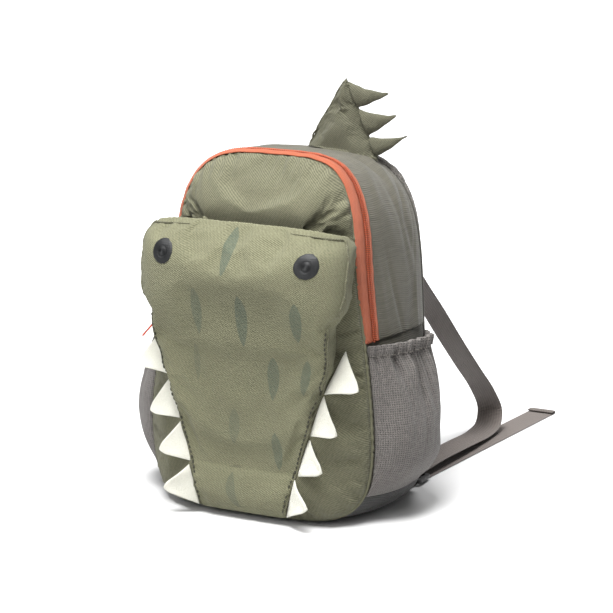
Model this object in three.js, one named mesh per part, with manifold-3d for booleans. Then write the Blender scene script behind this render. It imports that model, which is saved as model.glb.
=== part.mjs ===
// A child's backpack with a crocodile's head for a front pocket and its tail on the crown.
// Lengths are millimetres. +Z is up, the face looks towards -Y, and the origin is the middle of the foot.
import * as THREE from 'three';
import Module from 'manifold-3d';
import { mergeVertices } from 'three/addons/utils/BufferGeometryUtils.js';

const { sin, cos, abs, sign, asin, min, max, hypot, PI } = Math;

// Overall form of the bag
const seamHalfWidth = 102;
const seamFoot = 3.5;
const seamCrown = 296;
const crownFall = 8;
const frontCrownSquareness = 4;
const backCrownSquareness = 3.5;
const frontFootSquareness = 6.5;
const backFootSquareness = 11;
const frontNarrowing = 0.185;
const backNarrowing = 0.05;
const narrowingStart = 0.2;
const narrowingSpan = 0.56;
const frontSeamReach = 41;
const backSeamReach = 64;
const footBow = 22;
const footBowRise = 60;
const swellPower = 2.5;
const swellSkew = 1.25;

// Cloth walls and the gap that sewn pieces keep
const sewnGap = 0.3;
const seatGap = 0.6;
const panelWall = 2.6;
const gussetWall = 1.8;
const gussetLift = 0.8;
const baseWall = 2.2;
const backWall = 6;
const backEdgeWall = 2.4;
const backPuff = 5;
const panelPuff = 24;
const panelPuffPower = 8;
const baseRise = 24;

// Zipper along the front edge of the gusset
const zipEndHeight = 150;
const tapeThickness = 1.2;
const frontTapeWidth = 6.2;
const coilWidth = 4;
const coilHeight = 2;
const backTapeWidth = 3;

// Slider and pull at the zipper's left end
const sliderLength = 11;
const sliderWidth = 8;
const sliderThickness = 2.1;
const sliderRadius = 2.6;
const sliderAboveEnd = 6.5;
const sliderGap = 0.5;
const bridgeSetDown = 2.2;
const bridgeWidth = 2;
const bridgeBar = 1.2;
const bridgeHoleLength = 4.6;
const bridgeHoleHeight = 2.8;
const bridgeRadius = 1.1;
const bridgeHoleRadius = 0.9;
const pullLength = 30;
const pullWidth = 6;
const pullThickness = 1.4;
const pullBar = 1.4;
const pullWindowLength = 5;
const pullSlotStart = 15;
const pullWindowRadius = 0.6;
const pullClearance = 0.5;
const pullLean = 30 * PI / 180;

// Gathered side pockets
const pocketWall = 1.2;
const pocketBelowZip = 13;
const pocketTop = zipEndHeight - pocketBelowZip;
const pocketSwell = 13;
const pocketMouthGap = 6.2;
const pocketRimFall = 5;
const pocketLead = 0.8;
const pocketFront = 0.05;
const pocketBack = 0.94;
const pocketFolds = 6;
const pocketFoldDepth = 1.5;
const hemHeight = 9;
const hemThickness = 2.6;
const hemRuffles = 12;
const hemRuffleDepth = 0.8;

// The head: a padded pocket on the front panel, with an open top
const headWall = 3;
const headHalfWidth = 97;
const headFoot = 6;
const headTop = 247;
const headReach = 96;
const headRootPinch = 0.15;
const headRimFall = 9;
const headFootSquareness = 4.6;
const headTopSquareness = 3.4;
const headSeatGap = 2.2;
const headSlack = 2.4;
const headFallStart = 0.88;
const eyeRadius = 9.8;
const eyeThickness = 1.2;
const eyeSpread = 64.5;
const eyeHeight = 221;

// Felt teeth
const toothHighest = 147.5;
const toothPitch = 35.3;
const toothThickness = 3;
const toothTipWidth = 6;
const toothTipRounding = 0.2;
const toothCup = 2;
const toothGap = 0.5;
const toothRootGap = 1.5;
const toothRootTilt = 0.07;
const toothLift = 0.6;

// Stuffed tail with spikes on the crown
const tailBaseLeft = -3;
const tailBaseRight = 62;
const tailApexAcross = 31;
const tailHeight = 60;
const tailThickness = 21;
const tailSeatGap = 1.1;
const tailMiddleY = 53;
const tailLean = 3;
const spikeThickness = 11;
const spikeTipShare = 0.07;
const spikeTaper = 1.15;
const spikeSag = 1.5;
const spikeGap = 1.1;

// Shoulder straps, webbing and adjusters
const padWidth = 42;
const padEndWidth = 29;
const padThickness = 7;
const padTaperStart = 0.55;
const padRootWaist = 6;
const padCorner = 0.45;
const padEndThickness = 0.45;
const strapReach = 203;
const webbingWidth = 25;
const webbingThickness = 1.4;
const adjusterAcross = 78;
const tailStrapAcross = 105;
const webbingLift = 0.75;
const turnLead = 8;
const floorLead = 15;
const tailStrapEnd = 346;
const rolledHemLength = 9;
const rolledHemThickness = 3.6;
const adjusterWidth = 34;
const adjusterThickness = 3;
const adjusterBar = 3.2;
const adjusterPitch = 9.6;
const adjusterHeight = 4.2;
const adjusterRadius = 3;
const slotRadius = 0.8;
const slotClearance = 2;
const bagBarY = 76.5;
const tabTurn = 3.3;
const tabStartY = 65.3;

// Grids
const archSteps = 30;
const ringSteps = 36;
const eyeSides = 16;

const colours = {
  twill: 0x9a9a7c, gusset: 0x77746a, base: 0x45443f, mesh: 0x8b8683, back: 0x6e6b66,
  orange: 0xd2603c, coil: 0xb7452b, felt: 0xdfddd0, eye: 0x24272a, tail: 0x77756a,
  webbing: 0x8a817e, plastic: 0x3b3b3b,
};
const materials = Object.fromEntries(Object.entries(colours).map(([name, color]) => (
  [name, new THREE.MeshStandardMaterial({ name, color, roughness: 0.85, metalness: 0 })]
)));
materials.plastic.roughness = 0.45;
materials.pull = new THREE.MeshStandardMaterial({
  name: 'pull', color: 0xc4523a, roughness: 0.35, metalness: 0.4,
});

const mix = (a, b, share) => a + (b - a) * share;
const clamp = (value) => min(max(value, 0), 1);
const smooth = (value) => clamp(value) ** 2 * (3 - 2 * clamp(value));
const powered = (value, power) => sign(value) * abs(value) ** power;
const steps = (count) => Array.from({ length: count + 1 }, (_, i) => i / count);
const spot = (x, y, z) => new THREE.Vector3(x, y, z);

// Solids from points: equal points are joined, flat triangles dropped, and faces turned outwards.
function closedSolid(name, points, faces, material) {
  const known = new Map();
  const vertices = [];
  const index = points.map((p) => {
    const key = [p.x, p.y, p.z].map((v) => Math.round(v * 1e4)).join();
    if (!known.has(key)) {
      known.set(key, vertices.length);
      vertices.push(p);
    }
    return known.get(key);
  });
  const kept = faces.map((face) => face.map((i) => index[i]))
    .filter(([a, b, c]) => a !== b && b !== c && c !== a);
  const volume = kept.reduce((sum, [a, b, c]) => (
    sum + vertices[a].dot(spot(0, 0, 0).crossVectors(vertices[b], vertices[c]))
  ), 0);
  const turned = volume < 0 ? kept.map(([a, b, c]) => [a, c, b]) : kept;
  const geometry = new THREE.BufferGeometry().setFromPoints(vertices);
  geometry.setIndex(turned.flat());
  geometry.computeVertexNormals();
  const mesh = new THREE.Mesh(geometry, material);
  mesh.name = name;
  return mesh;
}

// A cloth wall between two grids of points, rows by columns. It closes round the columns if wrapped.
function wallSolid(name, outer, inner, material, wrap = false) {
  const rows = outer.length;
  const columns = outer[0].length;
  const lastColumn = wrap ? columns : columns - 1;
  const at = (side, row, column) => (side * rows + row) * columns + (column % columns);
  const faces = [];
  const quad = (a, b, c, d) => faces.push([a, b, c], [a, c, d]);
  for (let r = 0; r < rows - 1; r += 1) {
    for (let c = 0; c < lastColumn; c += 1) {
      quad(at(0, r, c), at(0, r, c + 1), at(0, r + 1, c + 1), at(0, r + 1, c));
      quad(at(1, r, c), at(1, r + 1, c), at(1, r + 1, c + 1), at(1, r, c + 1));
    }
    if (!wrap) {
      quad(at(0, r, 0), at(0, r + 1, 0), at(1, r + 1, 0), at(1, r, 0));
      quad(at(0, r + 1, lastColumn), at(0, r, lastColumn), at(1, r, lastColumn), at(1, r + 1, lastColumn));
    }
  }
  for (let c = 0; c < lastColumn; c += 1) {
    quad(at(0, 0, c + 1), at(0, 0, c), at(1, 0, c), at(1, 0, c + 1));
    quad(at(0, rows - 1, c), at(0, rows - 1, c + 1), at(1, rows - 1, c + 1), at(1, rows - 1, c));
  }
  return closedSolid(name, [...outer.flat(), ...inner.flat()], faces, material);
}

// A solid through closed sections, with a fan at each end.
function loftSolid(name, sections, material, startCap = null) {
  const count = sections[0].length;
  const middle = (section) => section.reduce((sum, p) => sum.add(p), spot(0, 0, 0)).divideScalar(count);
  const points = [...sections.flat(), startCap ?? middle(sections[0]), middle(sections.at(-1))];
  const faces = [];
  for (let c = 0; c < count; c += 1) {
    const next = (c + 1) % count;
    for (let r = 0; r < sections.length - 1; r += 1) {
      const row = r * count;
      faces.push([row + c, row + next, row + count + next], [row + c, row + count + next, row + count + c]);
    }
    const last = (sections.length - 1) * count;
    faces.push([points.length - 2, next, c], [points.length - 1, last + c, last + next]);
  }
  return closedSolid(name, points, faces, material);
}

// Moves a grid along its own normal by a distance that may differ from point to point.
function offsetGrid(grid, distance, wrap = false) {
  const rows = grid.length;
  const columns = grid[0].length;
  const column = (c) => (wrap ? (c + columns) % columns : min(max(c, 0), columns - 1));
  const normals = grid.map((row, r) => row.map((_, c) => {
    const along = grid[r][column(c + 1)].clone().sub(grid[r][column(c - 1)]);
    const up = grid[min(r + 1, rows - 1)][c].clone().sub(grid[max(r - 1, 0)][c]);
    return along.cross(up);
  }));
  const ends = [[0, 1], [rows - 1, rows - 2]];
  const poles = ends.filter(([row]) => grid[row][0].distanceTo(grid[row][1]) < 1e-6);
  poles.forEach(([row, beside]) => {
    const mean = normals[beside].reduce((sum, n) => sum.add(n.clone().normalize()), spot(0, 0, 0));
    normals[row] = normals[row].map(() => mean);
  });
  return grid.map((row, r) => row.map((p, c) => (
    p.clone().addScaledVector(normals[r][c].clone().normalize(), distance(r, c))
  )));
}

// Reads one column of a table at a place along its first column, on a smooth curve.
function readTable(table, place, column) {
  const [key] = Object.keys(table[0]);
  const last = table.length - 2;
  let i = table.findIndex((row, n) => n <= last && place <= table[n + 1][key]);
  i = i < 0 ? last : i;
  const [a, b] = [table[i], table[i + 1]];
  const slope = (n) => {
    const low = table[max(n - 1, 0)];
    const high = table[min(n + 1, table.length - 1)];
    return (high[column] - low[column]) / (high[key] - low[key]);
  };
  const span = b[key] - a[key];
  const t = clamp((place - a[key]) / span);
  const ease = t * t * (3 - 2 * t);
  return mix(a[column], b[column], ease)
    + span * t * (1 - t) * ((1 - t) * slope(i) - t * slope(i + 1));
}

// The seam outline in the front view: a tall egg with squared corners, narrower at the crown.
// Share runs from 0 at the front seam to 1 at the back seam, which is wider and lower at the crown.
const outlineMiddle = (seamFoot + seamCrown) / 2;
const outlineRise = (seamCrown - seamFoot) / 2;
const squareness = (rise, share = 0) => (
  rise >= 0 ? mix(frontCrownSquareness, backCrownSquareness, share)
    : mix(frontFootSquareness, backFootSquareness, share)
);
const narrowing = (z, share = 0) => (
  1 - mix(frontNarrowing, backNarrowing, share) * smooth((z / seamCrown - narrowingStart) / narrowingSpan)
);

function angleAt(z) {
  const rise = z - outlineMiddle;
  return asin(clamp(abs(rise) / outlineRise) ** (squareness(rise) / 2)) * sign(rise);
}

function outline(angle, share = 0) {
  const rise = powered(sin(angle), 2 / squareness(sin(angle)));
  const z = outlineMiddle + outlineRise * rise;
  const power = squareness(rise, share);
  const across = sign(cos(angle)) * (1 - min(1, abs(rise) ** power)) ** (1 / power);
  const fall = crownFall * share * smooth(2 * z / seamCrown - 1);
  return { x: seamHalfWidth * narrowing(z, share) * across, z: z - fall };
}

function outlineNormal(angle, share = 0) {
  const step = 0.02;
  const before = outline(angle - step, share);
  const after = outline(angle + step, share);
  const length = hypot(after.x - before.x, after.z - before.z);
  return { x: (after.z - before.z) / length, z: (before.x - after.x) / length };
}

// How far out a point of the front view lies: 0 in the middle, 1 on the seam.
function seamShare(x, z) {
  const power = squareness(z - outlineMiddle);
  const across = abs(x) / (seamHalfWidth * narrowing(z));
  return (across ** power + (abs(z - outlineMiddle) / outlineRise) ** power) ** (1 / power);
}

// The front seam leans back as it climbs, and the band between the seams swells most near the foot.
const seamRows = [
  { up: 0, reach: 1, swell: 6 },
  { up: 0.09, reach: 1, swell: 11 },
  { up: 0.3, reach: 1, swell: 11.5 },
  { up: 0.54, reach: 0.86, swell: 9 },
  { up: 0.8, reach: 0.74, swell: 6.5 },
  { up: 0.92, reach: 0.6, swell: 3.5 },
  { up: 1, reach: 0.4, swell: 1 },
];

function frontSeamY(x, z) {
  const bow = footBow * (1 - smooth(z / footBowRise)) * (1 - clamp(abs(x) / seamHalfWidth) ** 3);
  return -frontSeamReach * readTable(seamRows, z / seamCrown, 'reach') - bow;
}

const panelY = (x, z) => (
  frontSeamY(x, z) - panelPuff * (1 - min(seamShare(x, z), 1) ** panelPuffPower)
);

// The band between the front and back seams. Share runs from front to back, lift is outwards.
function bandPoint(angle, share, lift = 0) {
  const front = outline(angle);
  const edge = outline(angle, share);
  const normal = outlineNormal(angle, share);
  const profile = 1 - abs(1 - 2 * clamp(share) ** swellSkew) ** swellPower;
  const out = readTable(seamRows, edge.z / seamCrown, 'swell') * profile + lift;
  const y = mix(frontSeamY(front.x, front.z), backSeamReach, share);
  return spot(edge.x + normal.x * out, y, max(edge.z + normal.z * out, max(-lift, 0)));
}

function bandDepth(angle) {
  const front = outline(angle);
  return backSeamReach - frontSeamY(front.x, front.z);
}

// Where the band's pieces start and end across it, in millimetres from the front seam.
const bandStart = panelWall + 2 * sewnGap;
const coilStart = bandStart + frontTapeWidth + sewnGap;
const zipMiddle = coilStart + coilWidth / 2;
const backTapeStart = coilStart + coilWidth + sewnGap;
const gussetStart = backTapeStart + backTapeWidth + sewnGap;
const bandEnd = backEdgeWall + sewnGap;

// A strip of the band between two angles, from one distance behind the front seam to another.
function bandStrip(name, angles, from, to, columns, lifts, material) {
  const layer = (lift) => angles.map((angle) => {
    const depth = bandDepth(angle);
    const end = to ?? depth - bandEnd;
    return steps(columns).map((share) => bandPoint(angle, mix(from, end, share) / depth, lift));
  });
  return wallSolid(name, layer(lifts.outer), layer(lifts.inner), material);
}

function panelRings(rings, yAt, share) {
  return rings.map((ring) => Array.from({ length: ringSteps }, (_, i) => {
    const edge = outline(-2 * PI * i / ringSteps, share);
    const x = edge.x * ring;
    const z = mix(outlineMiddle, edge.z, ring);
    return spot(x, yAt(x, z, ring), z);
  }));
}

function frontPanel() {
  const outer = panelRings([0, 0.4, 0.66, 0.8, 0.9, 0.96, 1], panelY, 0);
  return wallSolid('front_panel', outer, offsetGrid(outer, () => -panelWall, true), materials.twill, true);
}

function backPanel() {
  const rings = [0, 0.45, 0.8, 1];
  const puffed = (x, z, ring) => backSeamReach + backPuff * (1 - ring ** 4);
  const outer = panelRings(rings, puffed, 1);
  const wall = (r) => mix(backEdgeWall, backWall, smooth(4 * (1 - rings[r])));
  return wallSolid('back_panel', outer, offsetGrid(outer, wall, true), materials.back, true);
}

const anglesBetween = (from, to, count) => steps(count).map((share) => mix(from, to, share));

function gussetPieces() {
  const arch = anglesBetween(angleAt(zipEndHeight), PI - angleAt(zipEndHeight), archSteps);
  const tapeLifts = { outer: tapeThickness / 2, inner: -tapeThickness / 2 };
  const gussetLifts = { outer: gussetLift, inner: gussetLift - gussetWall };
  const coil = arch.map((angle) => {
    const depth = bandDepth(angle);
    return Array.from({ length: 6 }, (_, i) => {
      const turn = 2 * PI * i / 6;
      return bandPoint(angle, (zipMiddle + cos(turn) * coilWidth / 2) / depth, sin(turn) * coilHeight / 2);
    });
  });
  const frontTapeEnd = bandStart + frontTapeWidth;
  const backTapeEnd = backTapeStart + backTapeWidth;
  return [
    bandStrip('zipper_tape_front', arch, bandStart, frontTapeEnd, 2, tapeLifts, materials.orange),
    loftSolid('zipper_coil', coil, materials.coil),
    bandStrip('zipper_tape_back', arch, backTapeStart, backTapeEnd, 1, tapeLifts, materials.orange),
    bandStrip('gusset', arch, gussetStart, null, 5, gussetLifts, materials.gusset),
  ];
}

// The two sides of the bag: +1 is the right one, seen from the front.
const sides = [
  { word: 'right', side: 1 },
  { word: 'left', side: -1 },
];

function sidePanel({ word, side }) {
  const heights = steps(7).map((share) => mix(baseRise + sewnGap, zipEndHeight - 2 * sewnGap, share));
  const angles = heights.map((z) => (side > 0 ? angleAt(z) : PI - angleAt(z)));
  return bandStrip(`side_panel_${word}`, angles, bandStart, null, 6,
    { outer: 0, inner: -gussetWall }, materials.gusset);
}

function basePanel() {
  const right = angleAt(baseRise);
  const angles = anglesBetween(right, -PI - right, 24);
  return bandStrip('base_panel', angles, bandStart, null, 8, { outer: 0, inner: -baseWall }, materials.base);
}

// Pocket swell up its height: tight at the foot seam, fullest below the middle, drawn in at the mouth.
const pocketRows = [
  { up: 0, out: 0.02 },
  { up: 0.08, out: 0.55 },
  { up: 0.25, out: 0.95 },
  { up: 0.45, out: 1 },
  { up: 0.8, out: 0.62 },
  { up: 1, out: 0.12 },
];

function pocketPoint({ side }, up, along, lift) {
  const rim = pocketTop - pocketRimFall * (along - 0.5) * smooth(up);
  const seat = bandPoint(angleAt(mix(baseRise + 1, rim, up)), mix(pocketFront, pocketBack, along));
  const lead = along ** mix(pocketLead, 1, smooth(2 * up - 1));
  const edge = (1 - abs(2 * lead - 1) ** 3) ** 0.8;
  const fold = pocketFoldDepth * smooth((up - 0.35) / 0.65) * (0.4 + cos(2 * PI * pocketFolds * along));
  const mouth = pocketMouthGap * smooth(up * 4);
  const swell = pocketSwell * readTable(pocketRows, up, 'out');
  return spot(side * (seat.x + seatGap + lift + (mouth + swell + fold) * edge), seat.y, seat.z);
}

function sidePocket(place) {
  const layer = (lift) => steps(6).map((up) => (
    steps(22).map((along) => pocketPoint(place, up, along, lift))
  ));
  return wallSolid(`side_pocket_${place.word}`, layer(pocketWall), layer(0), materials.mesh);
}

// Elastic hem over the pocket's mouth, drawn up in small ruffles.
const hemSection = [
  { across: 0, up: 0 },
  { across: 1, up: 0 },
  { across: 1, up: 0.8 },
  { across: 0.5, up: 1 },
  { across: 0, up: 0.8 },
];

function pocketHem(place) {
  const sections = steps(hemRuffles * 3).map((along) => {
    const rim = pocketPoint(place, 1, along, 0);
    const ruffle = hemRuffleDepth * (1 + sin(2 * PI * hemRuffles * along)) * sin(PI * along);
    return hemSection.map(({ across, up }) => spot(
      rim.x + place.side * (ruffle + across * hemThickness),
      rim.y,
      rim.z + sewnGap + up * hemHeight,
    ));
  });
  return loftSolid(`pocket_hem_${place.word}`, sections, materials.mesh);
}

// The head in the front view and from the side, as shares of its height, half width and reach.
const headRows = [
  { up: 0, wide: 0.4, reach: 0.71 },
  { up: 0.15, wide: 0.49, reach: 0.75 },
  { up: 0.3, wide: 0.597, reach: 0.79 },
  { up: 0.445, wide: 0.715, reach: 0.823 },
  { up: 0.585, wide: 0.845, reach: 0.875 },
  { up: 0.68, wide: 0.9, reach: 0.93 },
  { up: 0.74, wide: 0.985, reach: 0.965 },
  { up: 0.8, wide: 1, reach: 0.985 },
  { up: 0.92, wide: 1, reach: 0.99 },
  { up: 0.965, wide: 0.985, reach: 0.93 },
  { up: 1, wide: 0.925, reach: 0.82 },
];

function headSection(z) {
  const up = (z - headFoot) / (headTop - headFoot);
  const half = headHalfWidth * readTable(headRows, up, 'wide');
  const pinch = headRootPinch * smooth((up - 0.45) / 0.3);
  const root = half * (1 - pinch);
  const fall = headRimFall * smooth((z / headTop - headFallStart) / (1 - headFallStart));
  return {
    half,
    pinch,
    fall,
    rootY: panelY(root, z - fall) - headSeatGap,
    faceY: min(-headReach * readTable(headRows, up, 'reach'), panelY(0, z) - headSlack - headWall),
    power: mix(headFootSquareness, headTopSquareness, smooth(up)),
  };
}

// A point of the head: turn runs from 0 at the right root over the face to PI at the left root.
function headPoint(z, turn) {
  const { half, pinch, fall, rootY, faceY, power } = headSection(z);
  const out = sin(turn) ** (2 / power);
  const x = half * powered(cos(turn), 2 / power) * (1 - pinch * (1 - out) ** 2);
  return spot(x, mix(rootY, faceY, out), z - fall * (1 - out ** 2));
}

function headFaceY(x, z) {
  const { half, rootY, faceY, power } = headSection(z);
  return mix(rootY, faceY, (1 - min(abs(x) / half, 1) ** power) ** (1 / power));
}

function headPocket() {
  const turns = steps(18).map((share) => PI * share);
  const heights = [0, 0.035, 0.07, 0.11, 0.17, ...steps(10).slice(1).map((share) => mix(0.17, 1, share))];
  const outer = heights.map((up) => turns.map((turn) => headPoint(mix(headFoot, headTop, up), turn)));
  const inner = offsetGrid(outer, () => headWall).map((row, r) => row.map((p, c) => {
    const seat = outer[r][c];
    const inside = spot(p.x, p.y, seat.z);
    return spot(inside.x, min(inside.y, panelY(inside.x, inside.z) - headSeatGap), inside.z);
  }));
  return wallSolid('head_pocket', outer, inner, materials.twill);
}

function eye(name, side) {
  const layer = (lift) => steps(2).map((ring) => Array.from({ length: eyeSides }, (_, i) => {
    const angle = 2 * PI * i / eyeSides;
    const x = side * eyeSpread + ring * eyeRadius * cos(angle);
    const z = eyeHeight + ring * eyeRadius * sin(angle);
    return spot(x, headFaceY(x, z) - lift, z);
  }));
  return wallSolid(name, layer(seatGap + eyeThickness), layer(seatGap), materials.eye, true);
}

// Each tooth from the top down: how far its tip stands out, comes forward and droops.
const toothRows = [
  { out: 23, forward: 6, droop: 11 },
  { out: 20.5, forward: 7, droop: 12 },
  { out: 20.5, forward: 10, droop: 8 },
  { out: 21, forward: 14, droop: 2 },
];

// A tooth's root runs between two heights beside the head, clear of the panel's bulge.
function toothRoot(high, low, side, forward) {
  const ends = [low, high].map((z) => {
    const x = headSection(z).half + toothRootGap + forward * toothRootTilt;
    return spot(x, panelY(x, z), z);
  });
  const bulge = steps(4).map((share) => {
    const p = ends[0].clone().lerp(ends[1], share);
    return p.y - panelY(p.x, p.z);
  });
  return ends.map((p) => spot(side * p.x, p.y - max(...bulge) - toothLift, p.z));
}

function tooth(word, number, side) {
  const { out: reach, forward, droop } = toothRows[number];
  const high = toothHighest - number * toothPitch;
  const [rootLow, rootHigh] = toothRoot(high - toothGap, high - toothPitch + toothGap, side, forward);
  const middle = rootLow.clone().lerp(rootHigh, 0.5);
  const tip = middle.clone().add(spot(side * reach, -forward, -droop));
  const rootLine = rootHigh.clone().sub(rootLow);
  const along = rootLine.clone().normalize();
  const normal = tip.clone().sub(middle).cross(rootLine).normalize().multiplyScalar(side);
  const back = [0, 0.3, 0.6, 0.85, 0.96, 1].map((out) => {
    const rounding = (1 - clamp((out - 1) / toothTipRounding + 1) ** 2) ** 0.5;
    const width = mix(rootLine.length(), toothTipWidth, out) * max(rounding, 0.25);
    return steps(4).map((share) => middle.clone().lerp(tip, out)
      .addScaledVector(along, (share - 0.5) * width)
      .addScaledVector(normal, toothCup * sin(PI * out) * (2 * share - 1) ** 2));
  });
  const front = back.map((row) => row.map((p) => p.clone().addScaledVector(normal, toothThickness)));
  return wallSolid(`tooth_${word}_${number + 1}`, front, back, materials.felt);
}

// The tail stands on the band close to the back seam.
function crownSeat(x, y) {
  const crownHalfWidth = seamHalfWidth * narrowing(seamCrown, 0.9);
  let across = x;
  let seat;
  for (let turn = 0; turn < 4; turn += 1) {
    const share = abs(across) / crownHalfWidth;
    const angle = PI / 2 - sign(across) * asin(min(1, share ** 2));
    seat = bandPoint(angle, 1 - (backSeamReach - y) / bandDepth(angle), gussetLift);
    across += x - seat.x;
  }
  return seat;
}

function tailPieces() {
  const y = tailMiddleY;
  const seatLeft = crownSeat(tailBaseLeft, y);
  const seatRight = crownSeat(tailBaseRight, y);
  const apex = spot(tailApexAcross, y + tailLean, crownSeat(0, y).z + tailHeight);
  const around = Array.from({ length: 14 }, (_, i) => 2 * PI * i / 14);
  const edgeAt = (seat, up) => spot(seat.x, y, seat.z + seatGap).lerp(apex, up);
  const section = (up, grow = 1) => {
    const left = edgeAt(seatLeft, up);
    const right = edgeAt(seatRight, up);
    const thick = tailThickness * grow * (1 - up) ** 0.55 * mix(1, 0.85, up);
    return around.map((angle) => {
      const p = left.clone().lerp(right, 0.5 + 0.5 * grow * cos(angle));
      const pointY = p.y + thick / 2 * powered(sin(angle), 1.2);
      return spot(p.x, pointY, up === 0 ? crownSeat(p.x, pointY).z + tailSeatGap : p.z);
    });
  };
  const base = [section(0, 0.5), section(0)];
  const baseMiddle = spot(mix(seatLeft.x, seatRight.x, 0.5), y, 0);
  baseMiddle.z = crownSeat(baseMiddle.x, y).z + tailSeatGap;
  const climb = [0.1, 0.25, 0.45, 0.65, 0.82, 0.93, 0.985].map((up) => section(up));
  const fin = loftSolid('tail_fin', [...base, ...climb], materials.tail, baseMiddle);
  return [fin, ...spikeRows.map((row, i) => spike(`tail_spike_${i + 1}`, row, seatRight, apex, y))];
}

// Spikes from the top down, as shares of the tail's right edge and of its height.
const spikeRows = [
  { from: 0.95, to: 0.65, out: 0.51, rise: 0.04 },
  { from: 0.63, to: 0.32, out: 0.47, rise: 0.12 },
  { from: 0.3, to: 0.08, out: 0.5, rise: 0.18 },
];

function spike(name, { from, to, out, rise }, seatRight, apex, y) {
  const foot = spot(seatRight.x, y, seatRight.z);
  const beside = spot(spikeGap, 0, 0);
  const high = foot.clone().lerp(apex, from).add(beside);
  const low = foot.clone().lerp(apex, to).add(beside);
  const middle = high.clone().lerp(low, 0.5);
  const tip = middle.clone().add(spot(out * tailHeight, 2, rise * tailHeight));
  const around = Array.from({ length: 10 }, (_, i) => 2 * PI * i / 10);
  const sections = [0, 0.15, 0.4, 0.65, 0.87, 1].map((along) => {
    const shrink = mix((1 - along) ** spikeTaper, 1, spikeTipShare);
    const centre = middle.clone().lerp(tip, along).add(spot(0, 0, -spikeSag * sin(PI * along)));
    const thick = spikeThickness * shrink * mix(0.8, 1, sin(PI * along));
    return around.map((angle) => centre.clone()
      .addScaledVector(high.clone().sub(middle), cos(angle) * shrink)
      .add(spot(0, thick / 2 * powered(sin(angle), 1.2), 0)));
  });
  return loftSolid(name, sections, materials.tail);
}

// Slider and pull are made from flat outlines. Each is cut from extruded plates.
const wasm = await Module();
wasm.setup();

function asSolid(geometry) {
  const plain = geometry.clone();
  plain.deleteAttribute('normal');
  plain.deleteAttribute('uv');
  const merged = mergeVertices(plain, 1e-5);
  const mesh = new wasm.Mesh({
    numProp: 3,
    vertProperties: new Float32Array(merged.attributes.position.array),
    triVerts: new Uint32Array(merged.index.array),
  });
  return new wasm.Manifold(mesh);
}

function asGeometry(solid) {
  const { vertProperties, triVerts } = solid.getMesh();
  const geometry = new THREE.BufferGeometry();
  geometry.setAttribute('position', new THREE.BufferAttribute(vertProperties, 3));
  geometry.setIndex(new THREE.BufferAttribute(triVerts, 1));
  geometry.computeVertexNormals();
  return geometry;
}

// A rounded rectangle centred on (x, y), as a shape or a hole.
function rounded(outline2d, x, y, width, height, radius) {
  const corners = [
    { across: 1, up: -1, from: -PI / 2 },
    { across: 1, up: 1, from: 0 },
    { across: -1, up: 1, from: PI / 2 },
    { across: -1, up: -1, from: PI },
  ];
  corners.forEach(({ across, up, from }) => {
    const cx = x + across * (width / 2 - radius);
    const cy = y + up * (height / 2 - radius);
    outline2d.absarc(cx, cy, radius, from, from + PI / 2, false);
  });
  outline2d.closePath();
  return outline2d;
}

function plate(shape, depth) {
  const geometry = new THREE.ExtrudeGeometry(shape, { depth, bevelEnabled: false, curveSegments: 2 });
  return geometry.translate(0, 0, -depth / 2);
}

function named(name, geometry, material) {
  const mesh = new THREE.Mesh(geometry, material);
  mesh.name = name;
  return mesh;
}

// The slider's own frame: x runs up the zipper, y out of the bag, z across the zipper to the front.
function sliderFrame() {
  const angle = PI - angleAt(zipEndHeight + sliderAboveEnd);
  const place = (turn, across, lift) => (
    bandPoint(angle + turn, (zipMiddle + across) / bandDepth(angle), lift)
  );
  const across = place(0, -2, 0).sub(place(0, 2, 0)).normalize();
  const up = place(-0.01, 0, 0).sub(place(0.01, 0, 0)).normalize();
  const out = across.clone().cross(up).normalize();
  up.crossVectors(out, across);
  return new THREE.Matrix4().makeBasis(up, out, across).setPosition(place(0, 0, coilHeight / 2 + sliderGap));
}

function zipperPieces() {
  const frame = sliderFrame();
  const bodyShape = rounded(new THREE.Shape(), 0, 0, sliderLength, sliderWidth, sliderRadius);
  const body = plate(bodyShape, sliderThickness).rotateX(-PI / 2).translate(0, sliderThickness / 2, 0);
  const holeY = sliderThickness + bridgeHoleHeight / 2;
  const bridgeLength = bridgeHoleLength + 2 * bridgeBar;
  const bridgeHeight = bridgeHoleHeight + 2 * bridgeBar;
  const bridgeShape = rounded(new THREE.Shape(), -bridgeSetDown, holeY,
    bridgeLength, bridgeHeight, bridgeRadius);
  const bridge = plate(bridgeShape, bridgeWidth);
  const holeShape = rounded(new THREE.Shape(), -bridgeSetDown, holeY,
    bridgeHoleLength, bridgeHoleHeight, bridgeHoleRadius);
  const hole = plate(holeShape, 2 * bridgeWidth);
  const sliderSolid = asSolid(body).add(asSolid(bridge)).subtract(asSolid(hole));
  const slider = named('zipper_slider', asGeometry(sliderSolid), materials.pull);
  slider.applyMatrix4(frame);

  const outlineShape = new THREE.Shape();
  const middle = pullLength / 2 - pullBar / 2;
  rounded(outlineShape, middle, 0, pullLength, pullWidth, pullWidth / 2 - 0.2);
  const holeWidth = bridgeWidth + 2 * pullClearance;
  const wall = (pullWidth - holeWidth) / 2;
  outlineShape.holes.push(rounded(new THREE.Path(), pullBar / 2 + pullWindowLength / 2, 0,
    pullWindowLength, holeWidth, pullWindowRadius));
  const slotLength = pullLength - pullBar / 2 - wall - pullSlotStart;
  outlineShape.holes.push(rounded(new THREE.Path(), pullSlotStart + slotLength / 2, 0,
    slotLength, holeWidth, holeWidth / 2 - 0.1));
  const pull = named('zipper_pull', plate(outlineShape, pullThickness).rotateX(-PI / 2), materials.pull);
  const hinge = new THREE.Matrix4().makeTranslation(-bridgeSetDown, holeY, 0);
  pull.applyMatrix4(frame.clone().multiply(hinge).multiply(new THREE.Matrix4().makeRotationZ(PI - pullLean)));
  return [slider, pull];
}

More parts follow.
